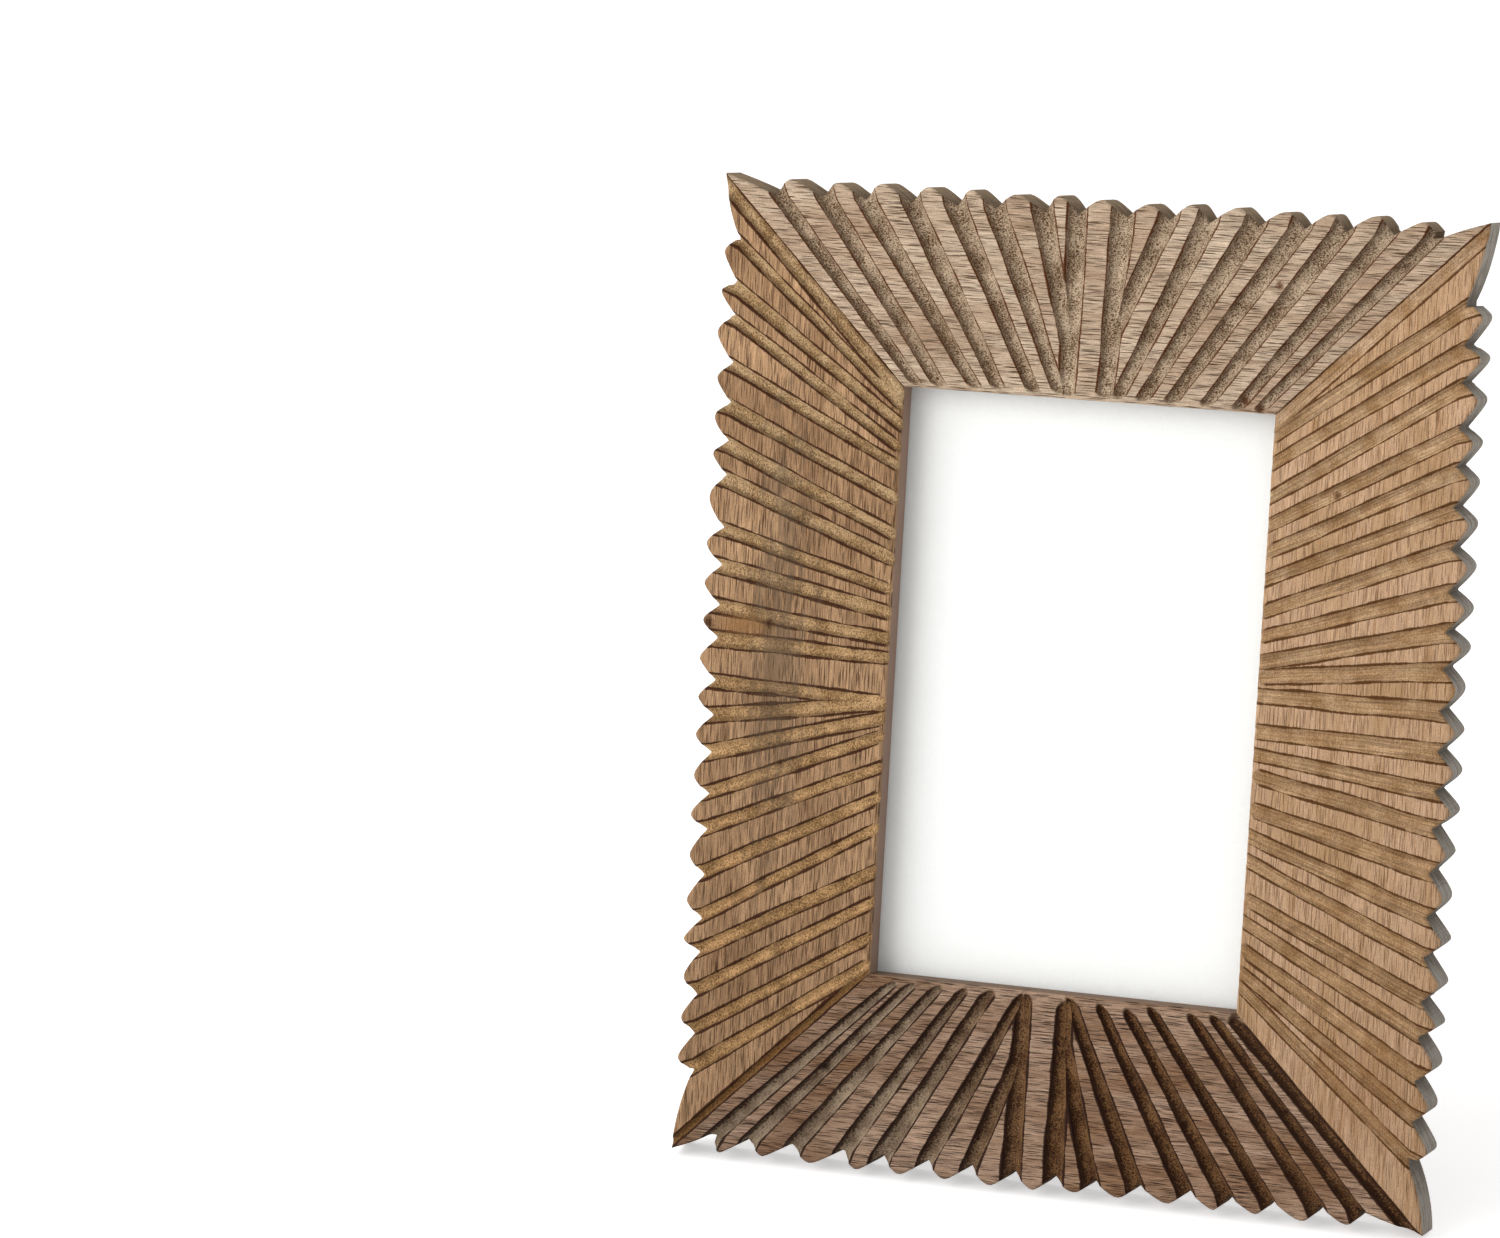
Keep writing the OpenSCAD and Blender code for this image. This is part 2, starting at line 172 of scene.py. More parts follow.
# A random value of a numbered flute or tooth. Flutes are numbered by halves, so it is doubled.
def drawFor(add, get, number, draw):
    start, least, most = draws[draw]
    label = add("ShaderNodeMath", [number, 2, start], operation="MULTIPLY_ADD")
    return add("FunctionNodeRandomValue", [least, most, label, get["Seed"]])


# The middle of one flute at a height: the line through its two marks, with the hand's waver
def markLineTree():
    wavesPerMetre = 60  # one in about 17 mm
    seedStep = 3.7  # how far apart in the noise the flutes lie
    tree, add, get, result = newTree(
        "markLine",
        {"Marks": "G", "Number": 0.5, "Height": 0.0, **{name: railSizes[name] for name in markSizes}},
        ["Place", "Widening"])
    order = add("ShaderNodeMath", [get["Number"], get["Teeth Each Side"]], operation="ADD")
    orderNext = add("ShaderNodeMath", [order, 1], operation="ADD")
    spotOfMark = add("GeometryNodeInputPosition")
    mark = add(
        "GeometryNodeSampleIndex", {"Geometry": get["Marks"], "Value": spotOfMark, "Index": orderNext},
        data_type="FLOAT_VECTOR", clamp=True)
    ends = add("ShaderNodeSeparateXYZ", [mark]).outputs
    line = add(
        "ShaderNodeMapRange", [get["Height"], get["Mark Low"], get["Mark High"], ends[1], ends[0]],
        clamp=False)
    along = add("ShaderNodeMath", [get["Height"], wavesPerMetre], operation="MULTIPLY")
    apart = add("ShaderNodeMath", [get["Number"], seedStep, get["Seed"]], operation="MULTIPLY_ADD")
    spot = add("ShaderNodeCombineXYZ", [along, apart])
    wave = add("ShaderNodeTexNoise", {"Vector": spot, "Scale": 1.0, "Detail": 1.0})
    waves = add("ShaderNodeSeparateXYZ", [wave.outputs["Color"]]).outputs
    across = add("ShaderNodeMapRange", [waves[0], 0, 1, -1, 1])
    place = add("ShaderNodeMath", [across, get["Waver"], line], operation="MULTIPLY_ADD")
    widening = add("ShaderNodeMapRange", [waves[1], 0.2, 0.8, 0.9, 1.1])  # a tenth each way
    connect(result, [place, widening])
    return tree


# One cut line: where it lies at a height above the sight edge, how far it reaches to each side,
# whether it runs along the mitre, and where the notch at its outer end is sawn
def fluteLineTree(markTree):
    leastGap = 0.9 * mm  # between the middles of two flutes that meet
    tree, add, get, result = newTree(
        "fluteLine", {"Marks": "G", "Number": 0.5, "Height": 0.0, **railSizes},
        ["Place", "Reach", "Is Mitre", "Notch"])
    side = add("ShaderNodeMath", [get["Number"]], operation="SIGN")
    count = add("ShaderNodeMath", [get["Number"]], operation="ABSOLUTE")
    last = add("ShaderNodeMath", [get["Teeth Each Side"], 0.5], operation="ADD")
    pastLast = add("ShaderNodeMath", [last, 0.5], operation="ADD")
    isMitre = add("ShaderNodeMath", [count, pastLast], operation="GREATER_THAN")

    # A tooth leans half as much as the flutes beside it
    valley = add("ShaderNodeMath", [get["Rail Width"], get["Tooth Height"]], operation="SUBTRACT")
    below = add("ShaderNodeMath", [get["Height"], valley], operation="MINIMUM")
    above = add("ShaderNodeMath", [get["Height"], below], operation="SUBTRACT")
    rise = add("ShaderNodeMath", [above, 0.5, below], operation="MULTIPLY_ADD")

    # A flute that meets the next one towards the middle runs on inside it
    inward = add("ShaderNodeMath", [get["Number"], side], operation="SUBTRACT")
    marked = {"Height": rise, **{name: get[name] for name in ("Marks", *markSizes)}}
    own = add("GeometryNodeGroup", {"Number": get["Number"], **marked}, node_tree=markTree)
    inner = add("GeometryNodeGroup", {"Number": inward, **marked}, node_tree=markTree)
    ownSide = add("ShaderNodeMath", [own, side], operation="MULTIPLY")
    innerSide = add("ShaderNodeMath", [inner, side], operation="MULTIPLY")
    closest = add("ShaderNodeMath", [innerSide, leastGap], operation="ADD")
    kept = add("ShaderNodeMath", [ownSide, closest], operation="MAXIMUM")
    mitreLine = add("ShaderNodeMath", [get["Half Sight"], get["Height"]], operation="ADD")
    distance = add("ShaderNodeMix", [isMitre, kept, mitreLine])
    place = add("ShaderNodeMath", [distance, side], operation="MULTIPLY")

    # The notch between two teeth, sawn a little away from the flute's middle
    stray = drawFor(add, get, get["Number"], "notch")
    outward = add("ShaderNodeMath", [count, last], operation="DIVIDE")
    slide = add("ShaderNodeMath", [outward, get["Notch Slide"], stray], operation="MULTIPLY_ADD")
    isFlute = add("ShaderNodeMath", [1, isMitre], operation="SUBTRACT")
    notchAway = add("ShaderNodeMath", [slide, isFlute, distance], operation="MULTIPLY_ADD")
    notch = add("ShaderNodeMath", [notchAway, side], operation="MULTIPLY")

    # No two flutes are equally wide
    share = add("ShaderNodeMath", [rise, valley], operation="DIVIDE")
    wide = drawFor(add, get, get["Number"], "width")
    halfInner = add("ShaderNodeMath", [get["Flute Inner Width"], 0.5], operation="MULTIPLY")
    halfOuter = add("ShaderNodeMath", [get["Flute Width"], 0.5], operation="MULTIPLY")
    reach = add("ShaderNodeMix", [share, halfInner, halfOuter])
    reachWide = add("ShaderNodeMath", [reach, wide], operation="MULTIPLY")
    reachWaved = add("ShaderNodeMath", [reachWide, own.outputs["Widening"]], operation="MULTIPLY")
    isEnd = add("ShaderNodeMath", [get["Number"], 0], operation="GREATER_THAN")
    mitreReach = add("ShaderNodeMix", [isEnd, get["Start Reach"], get["End Reach"]])
    reachKept = add("ShaderNodeMix", [isMitre, reachWaved, mitreReach])
    connect(result, [place, reachKept, isMitre, notch])
    return tree


# Depth of a flat-bottomed gouge cut at a distance from its line, below zero outside it, and the
# distance from its rim. A cut along the mitre lies on one side of its line, 45 degrees to the rail.
def gougeCutTree():
    outermost = 1.3  # times half the width: as far out as the cut's curve is followed
    uncut = -1 * mm
    leastReach = 1 * mm  # a mitre flute that reaches less than this isn't cut
    tree, add, get, result = newTree(
        "gougeCut", {"Distance": 0.0, "Reach": 0.0, "Is Mitre": 0.0, "Depth": 0.0, "Flatness": 2.2},
        ["Cut", "Rim"])
    offset = add("ShaderNodeMath", [get["Reach"], 0.5], operation="MULTIPLY")
    middle = add("ShaderNodeMath", [offset, get["Is Mitre"]], operation="MULTIPLY")
    slant = add("ShaderNodeMath", [get["Is Mitre"], math.sqrt(0.5) - 1, 1], operation="MULTIPLY_ADD")
    fromMiddle = add("ShaderNodeMath", [get["Distance"], middle], operation="SUBTRACT")
    across = add("ShaderNodeMath", [fromMiddle, slant], operation="MULTIPLY")
    reachLeft = add("ShaderNodeMath", [get["Reach"], middle], operation="SUBTRACT")
    half = add("ShaderNodeMath", [reachLeft, slant], operation="MULTIPLY")
    acrossAway = add("ShaderNodeMath", [across], operation="ABSOLUTE")
    share = add("ShaderNodeMath", [acrossAway, half], operation="DIVIDE")
    shareKept = add("ShaderNodeMath", [share, outermost], operation="MINIMUM")
    curve = add("ShaderNodeMath", [shareKept, get["Flatness"]], operation="POWER")
    left = add("ShaderNodeMath", [1, curve], operation="SUBTRACT")
    cut = add("ShaderNodeMath", [left, get["Depth"]], operation="MULTIPLY")
    bites = add("ShaderNodeMath", [get["Reach"], leastReach], operation="GREATER_THAN")
    cutKept = add("ShaderNodeMix", [bites, uncut, cut])
    rim = add("ShaderNodeMath", [acrossAway, half], operation="SUBTRACT")
    rimKept = add("ShaderNodeMix", [bites, get["Distance"], rim])
    connect(result, [cutKept, rimKept])
    return tree


# Where one column of the grid stands at a height, between the cut lines before and after it
def columnPlaceTree(lineTree):
    mostReach = 0.45  # share of the gap between two lines: some land is left between the flutes
    ends = ["Before", "After"]
    parts = ["Line ", "Reach ", "Mitre ", "Notch "]
    shares = {"Share Before": 0.0, "On Land": 0.0, "Share After": 0.0}
    tree, add, get, result = newTree(
        "columnPlace", {"Marks": "G", "Before": 0.0, "After": 1.0, "Height": 0.0, **shares, **railSizes},
        ["Place"] + [part + end for end in ends for part in parts])
    sizes = {name: get[name] for name in ("Marks", "Height", *railSizes)}
    lines = []
    for end in ends:
        line = add("GeometryNodeGroup", {"Number": get[end], **sizes}, node_tree=lineTree)
        connect(result, {part + end: output for part, output in zip(parts, line.outputs)})
        lines.append(line)
    gap = add("ShaderNodeMath", [lines[1], lines[0]], operation="SUBTRACT")
    most = add("ShaderNodeMath", [gap, mostReach], operation="MULTIPLY")
    reaches = [
        add("ShaderNodeMath", [line.outputs["Reach"], most], operation="MINIMUM")
        for line in lines]
    pastBefore = add("ShaderNodeMath", [gap, reaches[0]], operation="SUBTRACT")
    land = add("ShaderNodeMath", [pastBefore, reaches[1]], operation="SUBTRACT")
    inBefore = add("ShaderNodeMath", [reaches[0], get["Share Before"], lines[0]], operation="MULTIPLY_ADD")
    onLand = add("ShaderNodeMath", [land, get["On Land"], inBefore], operation="MULTIPLY_ADD")
    inAfter = add("ShaderNodeMath", [reaches[1], get["Share After"], onLand], operation="MULTIPLY_ADD")
    connect(result, [inAfter])
    return tree


# The grid that a rail is folded from: its column and row at each point, and how many it has
def railGrid(add, get):
    index = add("GeometryNodeInputIndex")
    cells = add("ShaderNodeMath", [get["Teeth Each Side"], 2, 3], operation="MULTIPLY_ADD")
    columnsTotal = add("ShaderNodeMath", [cells, get["Columns"], 3], operation="MULTIPLY_ADD")
    rowsTotal = add("ShaderNodeMath", [get["Face Rows"], sum(foldRows.values()) + 1], operation="ADD")
    mesh = add("GeometryNodeMeshGrid", {"Vertices X": columnsTotal, "Vertices Y": rowsTotal})
    columnRaw = add("ShaderNodeMath", [index, rowsTotal], operation="DIVIDE")
    column = add("ShaderNodeMath", [columnRaw], operation="FLOOR")
    row = add("ShaderNodeMath", [index, rowsTotal], operation="MODULO")
    return mesh, column, row, cells, columnsTotal


# The tooth that a column belongs to, the numbers of the flutes before and after it, and how far
# it has come through the half flute before, the land, and the half flute after
def toothOfColumn(add, get, column, cells, columnsTotal):
    flutePart = 0.31  # share of a tooth's columns in each half flute
    lastColumn = add("ShaderNodeMath", [columnsTotal, 3], operation="SUBTRACT")
    inner = add("ShaderNodeMath", [column, 1], operation="SUBTRACT")
    innerKept = add("ShaderNodeClamp", [inner, 0, lastColumn])
    through = add("ShaderNodeMath", [innerKept, get["Columns"]], operation="DIVIDE")
    cellRaw = add("ShaderNodeMath", [through], operation="FLOOR")
    lastCell = add("ShaderNodeMath", [cells, 1], operation="SUBTRACT")
    cell = add("ShaderNodeMath", [cellRaw, lastCell], operation="MINIMUM")
    phase = add("ShaderNodeMath", [through, cell], operation="SUBTRACT")
    teethPlus = add("ShaderNodeMath", [get["Teeth Each Side"], 1], operation="ADD")
    tooth = add("ShaderNodeMath", [cell, teethPlus], operation="SUBTRACT")
    nearBefore = add("ShaderNodeMapRange", [phase, 0, flutePart, 0, math.pi / 2])
    nearAfter = add("ShaderNodeMapRange", [phase, 1 - flutePart, 1, 0, math.pi / 2])
    cosineAfter = add("ShaderNodeMath", [nearAfter], operation="COSINE")
    onLand = add(
        "ShaderNodeMapRange", [phase, flutePart, 1 - flutePart, 0, 1], interpolation_type="SMOOTHSTEP")
    return tooth, phase, {
        "Before": add("ShaderNodeMath", [tooth, 0.5], operation="SUBTRACT"),
        "After": add("ShaderNodeMath", [tooth, 0.5], operation="ADD"),
        "Share Before": add("ShaderNodeMath", [nearBefore], operation="SINE"),
        "On Land": onLand,
        "Share After": add("ShaderNodeMath", [1, cosineAfter], operation="SUBTRACT"),
    }


# A flank that starts round and runs out straight: the root of x and r squared, less r
def roundedFlank(add, along, rounding):
    roundSquared = add("ShaderNodeMath", [rounding, 2], operation="POWER")
    squared = add("ShaderNodeMath", [along, along, roundSquared], operation="MULTIPLY_ADD")
    curve = add("ShaderNodeMath", [squared], operation="SQRT")
    return add("ShaderNodeMath", [curve, rounding], operation="SUBTRACT")


# The rail's outer edge at a column: teeth between the notches, and a horn sweeping up to each corner
def outerEdge(add, get, tooth, valley):
    place = valley["Place"]
    fromBefore = add("ShaderNodeMath", [place, valley["Notch Before"]], operation="SUBTRACT")
    toAfter = add("ShaderNodeMath", [valley["Notch After"], place], operation="SUBTRACT")
    awayBefore = add("ShaderNodeMath", [fromBefore], operation="ABSOLUTE")
    awayAfter = add("ShaderNodeMath", [toAfter], operation="ABSOLUTE")
    notchAway = add("ShaderNodeMath", [awayBefore, awayAfter], operation="MINIMUM")
    span = add("ShaderNodeMath", [fromBefore, toAfter], operation="ADD")
    flank = add("ShaderNodeMath", [span, 0.5], operation="MULTIPLY")

    # A tooth dips from its rounded tip to the notches, and each tip is a little lower than the rail
    upFlank = add("ShaderNodeMath", [notchAway, flank], operation="DIVIDE", use_clamp=True)
    fromTip = add("ShaderNodeMath", [1, upFlank], operation="SUBTRACT")
    rounding = drawFor(add, get, tooth, "tip")
    here = roundedFlank(add, fromTip, rounding)
    atNotch = roundedFlank(add, 1, rounding)
    dipShare = add("ShaderNodeMath", [here, atNotch], operation="DIVIDE")
    toothDip = add("ShaderNodeMath", [dipShare, get["Tooth Height"]], operation="MULTIPLY")
    drop = drawFor(add, get, tooth, "drop")
    dropHere = add("ShaderNodeMath", [drop, upFlank, toothDip], operation="MULTIPLY_ADD")

    # A horn rises in one sweep from its last notch to the corner
    isRight = add("ShaderNodeMath", [tooth, 0], operation="GREATER_THAN")
    hornAway = add("ShaderNodeMix", [isRight, toAfter, fromBefore])
    hornShare = add("ShaderNodeMath", [hornAway, span], operation="DIVIDE", use_clamp=True)
    hornLeft = add("ShaderNodeMath", [1, hornShare], operation="SUBTRACT")
    hornCurve = add("ShaderNodeMath", [hornLeft, get["Horn Bow"]], operation="POWER")
    hornDip = add("ShaderNodeMath", [hornCurve, get["Tooth Height"]], operation="MULTIPLY")
    toothCount = add("ShaderNodeMath", [tooth], operation="ABSOLUTE")
    teethHalf = add("ShaderNodeMath", [get["Teeth Each Side"], 0.5], operation="ADD")
    isHorn = add("ShaderNodeMath", [toothCount, teethHalf], operation="GREATER_THAN")
    dip = add("ShaderNodeMix", [isHorn, dropHere, hornDip])
    return add("ShaderNodeMath", [get["Rail Width"], dip], operation="SUBTRACT")


# How far a row is through each stretch of the fold, and the last row
def foldStages(add, get, row):
    end = get["Face Rows"]
    stages = {"overFace": add("ShaderNodeMapRange", [row, 0, end, 0, 1])}
    for name, rows in foldRows.items():
        start = end
        end = add("ShaderNodeMath", [start, rows], operation="ADD")
        stages[name] = add("ShaderNodeMapRange", [row, start, end, 0, 1])
    return stages, end


# Height of a point above the sight edge, as the fold goes over the face and back round to it
def foldHeight(add, get, top, stages):
    crowding = 0.6 / (2 * math.pi)  # rows stand closer at both edges of the face
    turned = add("ShaderNodeMath", [stages["overFace"], 2 * math.pi], operation="MULTIPLY")
    sway = add("ShaderNodeMath", [turned], operation="SINE")
    faceShare = add("ShaderNodeMath", [sway, -crowding, stages["overFace"]], operation="MULTIPLY_ADD")
    faceHeight = add("ShaderNodeMath", [top, faceShare], operation="MULTIPLY")
    backHeight = add("ShaderNodeMix", [stages["alongBack"], faceHeight, get["Lip Width"]])
    return add("ShaderNodeMix", [stages["underLip"], backHeight, 0.0])


# The two gouge cuts that reach a point: their depth, the distance from the nearest rim, and the
# cut's own coordinates (across it, height, number)
def gougeCuts(add, get, height, here, phase, flutes, cutTree):
    depthShare = add("ShaderNodeMapRange", [height, 0, get["Rail Width"], get["Inner Depth"], 1])
    depth = add("ShaderNodeMath", [depthShare, get["Flute Depth"]], operation="MULTIPLY")
    place = here["Place"]
    fromBefore = add("ShaderNodeMath", [place, here["Line Before"]], operation="SUBTRACT")
    toAfter = add("ShaderNodeMath", [here["Line After"], place], operation="SUBTRACT")
    cuts = []
    for end, distance in (("Before", fromBefore), ("After", toAfter)):
        cutInputs = [distance, here["Reach " + end], here["Mitre " + end], depth, get["Floor Flatness"]]
        cuts.append(add("GeometryNodeGroup", cutInputs, node_tree=cutTree))
    cut = add("ShaderNodeMath", cuts, operation="MAXIMUM")
    rim = add("ShaderNodeMath", [each.outputs["Rim"] for each in cuts], operation="MINIMUM")
    isAfter = add("ShaderNodeMath", [phase, 0.5], operation="GREATER_THAN")
    nearest = add("ShaderNodeMix", [isAfter, flutes["Before"], flutes["After"]])
    fromAfter = add("ShaderNodeMath", [toAfter, -1], operation="MULTIPLY")
    offset = add("ShaderNodeMix", [isAfter, fromBefore, fromAfter])
    gouge = add("ShaderNodeCombineXYZ", [offset, height, nearest])
    return cut, rim, depth, nearest, gouge


# From 0 in the plain band by the sight edge to 1 where the cuts run at full depth. Each flute
# stops at its own height, and its floor stops higher than its rims, as a gouge comes out.
def gougeStops(add, get, height, cut, depth, nearest):
    stray = drawFor(add, get, nearest, "stop")
    band = add("ShaderNodeMath", [stray, get["Band Stray"], get["Plain Band"]], operation="MULTIPLY_ADD")
    cutShare = add("ShaderNodeMath", [cut, depth], operation="DIVIDE", use_clamp=True)
    spoon = add("ShaderNodeMapRange", [cutShare, 0, 1, get["Spoon"], 0])
    start = add("ShaderNodeMath", [band, spoon], operation="ADD")
    end = add("ShaderNodeMath", [start, get["Stop Length"]], operation="ADD")
    return add("ShaderNodeMapRange", [height, start, end, 0, 1], interpolation_type="SMOOTHSTEP")


carvedFace = {
    "uncut": -1 * mm,
    "ripples": 110,  # per metre: the hand plane leaves one in about 9 mm
    "rippleDepth": 0.28 * mm,
    "rimRound": 0.3 * mm,
    "bevelRound": 0.2 * mm,
    "arris": (0.5 * mm, 0.4 * mm),  # how wide and how deep a worn edge is
    "mitreArris": (0.35 * mm, 0.3 * mm),
}


# Depth of the carved face below the rail's front: cuts, planed land, bevelled teeth, worn edges
def faceLevel(add, get, height, place, top, tooth, cut, going):
    cutStopped = add("ShaderNodeMix", [going, carvedFace["uncut"], cut])
    position = add("ShaderNodeCombineXYZ", [place, 0, height])
    ripples = add("ShaderNodeTexNoise", {"Vector": position, "Scale": carvedFace["ripples"], "Detail": 2.0})
    land = add("ShaderNodeMapRange", [ripples, 0.25, 0.75, 0, carvedFace["rippleDepth"]])
    bevelFrom = add("ShaderNodeMath", [get["Rail Width"], get["Bevel Width"]], operation="SUBTRACT")
    pastBevel = add("ShaderNodeMath", [height, bevelFrom], operation="SUBTRACT")
    bevelSlope = add("ShaderNodeMath", [get["Bevel Depth"], get["Bevel Width"]], operation="DIVIDE")
    bevelEven = add("ShaderNodeMath", [pastBevel, bevelSlope], operation="MULTIPLY")
    bevelTilt = drawFor(add, get, tooth, "bevel")
    bevel = add("ShaderNodeMath", [bevelEven, bevelTilt], operation="MULTIPLY")
    level = add("ShaderNodeMath", [cutStopped, land, carvedFace["rimRound"]], operation="SMOOTH_MAX")
    level = add("ShaderNodeMath", [level, bevel, carvedFace["bevelRound"]], operation="SMOOTH_MAX")

    # Arrises worn at the sight edge, at the teeth and where two rails meet
    fromTop = add("ShaderNodeMath", [top, height], operation="SUBTRACT")
    mitreFar = add("ShaderNodeMath", [get["Half Sight"], height], operation="ADD")
    placeFar = add("ShaderNodeMath", [place], operation="ABSOLUTE")
    fromMitre = add("ShaderNodeMath", [mitreFar, placeFar], operation="SUBTRACT")
    for away, arris in ((height, "arris"), (fromTop, "arris"), (fromMitre, "mitreArris")):
        wide, deep = carvedFace[arris]
        worn = add("ShaderNodeMapRange", [away, 0, wide, deep, 0])
        level = add("ShaderNodeMath", [level, worn], operation="ADD")
    return level


# Depth of a point into the wood, as the fold goes down the wall, up the rebate and to the face
def foldDepth(add, get, level, stages):
    downEased = add("ShaderNodeMath", [stages["downWall"], 2], operation="POWER")
    onBack = add("ShaderNodeMix", [downEased, level, get["Rail Thickness"]])
    inRebate = add("ShaderNodeMix", [stages["upRebate"], onBack, get["Lip Thickness"]])
    return add("ShaderNodeMix", [stages["upSight"], inRebate, level])


# The first and last columns close each end on one point inside the mitre's face
def closeEnds(add, get, point, tooth, column, columnsTotal):
    insideLip = {"up": 0.5 * mm, "forward": 2.2 * mm}
    up = add("ShaderNodeMath", [get["Lip Width"], insideLip["up"]], operation="ADD")
    along = add("ShaderNodeMath", [up, get["Half Sight"]], operation="ADD")
    toothSide = add("ShaderNodeMath", [tooth], operation="SIGN")
    side = add("ShaderNodeMath", [along, toothSide], operation="MULTIPLY")
    depth = add("ShaderNodeMath", [get["Lip Thickness"], insideLip["forward"]], operation="SUBTRACT")
    heart = add("ShaderNodeCombineXYZ", [side, depth, up])
    isFirst = add("ShaderNodeMath", [column, 0.5], operation="LESS_THAN")
    endColumn = add("ShaderNodeMath", [columnsTotal, 1.5], operation="SUBTRACT")
    isFinal = add("ShaderNodeMath", [column, endColumn], operation="GREATER_THAN")
    isEnd = add("ShaderNodeMath", [isFirst, isFinal], operation="ADD")
    return add("ShaderNodeMix", [isEnd, point, heart], data_type="VECTOR")


# From 0 on the face to 1 on every other side of the rail
def offTheFace(add, row, faceRows, lastRow):
    wallStart = add("ShaderNodeMath", [faceRows, 1], operation="ADD")
    leaving = add("ShaderNodeMapRange", [row, faceRows, wallStart, 0, 1])
    beforeLast = add("ShaderNodeMath", [lastRow, 1], operation="SUBTRACT")
    returning = add("ShaderNodeMapRange", [row, beforeLast, lastRow, 1, 0])
    return add("ShaderNodeMath", [leaving, returning], operation="MULTIPLY")


# Keeps values on a mesh's points for its material to read
def storeFields(add, geometry, fields, kind):
    for name, value in fields.items():
        geometry = add(
            "GeometryNodeStoreNamedAttribute", {"Geometry": geometry, "Name": name, "Value": value},
            data_type=kind)
    return geometry


# Ends a tree: smooth apart from edges sharper than an angle in degrees, real geometry, its material
def finishTree(add, result, geometry, material, sharpAngle):
    angle = add("GeometryNodeInputMeshEdgeAngle")
    soft = add("FunctionNodeCompare", [angle, math.radians(sharpAngle)], operation="LESS_THAN")
    for domain, shadeSmooth in (("FACE", True), ("EDGE", soft)):
        geometry = add(
            "GeometryNodeSetShadeSmooth", {"Geometry": geometry, "Shade Smooth": shadeSmooth},
            domain=domain)
    whole = add("GeometryNodeRealizeInstances", [geometry])
    finished = add("GeometryNodeSetMaterial", {"Geometry": whole, "Material": material})
    connect(result, [finished])


# A whole rail as one grid, folded round its section from mitre to mitre. Its place is along the
# rail, its height outward from the sight edge, its depth into the wood.
def carvedRailTree(columnTree, cutTree):
    tree, add, get, result = newTree("carvedRail", {"Marks": "G", **railSizes, "Material": "M"}, ["Geometry"])
    mesh, column, row, cells, columnsTotal = railGrid(add, get)
    tooth, phase, flutes = toothOfColumn(add, get, column, cells, columnsTotal)
    columnInputs = {**{name: get[name] for name in ("Marks", *railSizes)}, **flutes}

    # The outline is set where the column crosses the line of the valleys between the teeth
    valley = add("ShaderNodeMath", [get["Rail Width"], get["Tooth Height"]], operation="SUBTRACT")
    atValley = add("GeometryNodeGroup", {"Height": valley, **columnInputs}, node_tree=columnTree)
    top = outerEdge(add, get, tooth, atValley.outputs)
    stages, lastRow = foldStages(add, get, row)
    height = foldHeight(add, get, top, stages)
    atPoint = add("GeometryNodeGroup", {"Height": height, **columnInputs}, node_tree=columnTree)
    place = atPoint.outputs["Place"]

    cut, rim, fluteDepth, nearest, gouge = gougeCuts(
        add, get, height, atPoint.outputs, phase, flutes, cutTree)
    going = gougeStops(add, get, height, cut, fluteDepth, nearest)
    level = faceLevel(add, get, height, place, top, tooth, cut, going)
    depth = foldDepth(add, get, level, stages)
    folded = add("ShaderNodeCombineXYZ", [place, depth, height])
    point = closeEnds(add, get, folded, tooth, column, columnsTotal)

    values = {
        "rim": add("ShaderNodeMath", [rim, 1 / mm], operation="MULTIPLY"),
        "tone": drawFor(add, get, tooth, "tone"),
        "going": going,
        "outside": offTheFace(add, row, get["Face Rows"], lastRow),
    }
    marked = storeFields(add, mesh, values, "FLOAT")
    marked = storeFields(add, marked, {"grain": point, "gouge": gouge}, "FLOAT_VECTOR")
    placed = add("GeometryNodeSetPosition", {"Geometry": marked, "Position": point})
    welded = add("GeometryNodeMergeByDistance", {"Geometry": placed, "Distance": 0.0005 * mm})
    finishTree(add, result, welded, get["Material"], sharpAngle=50)
    return tree


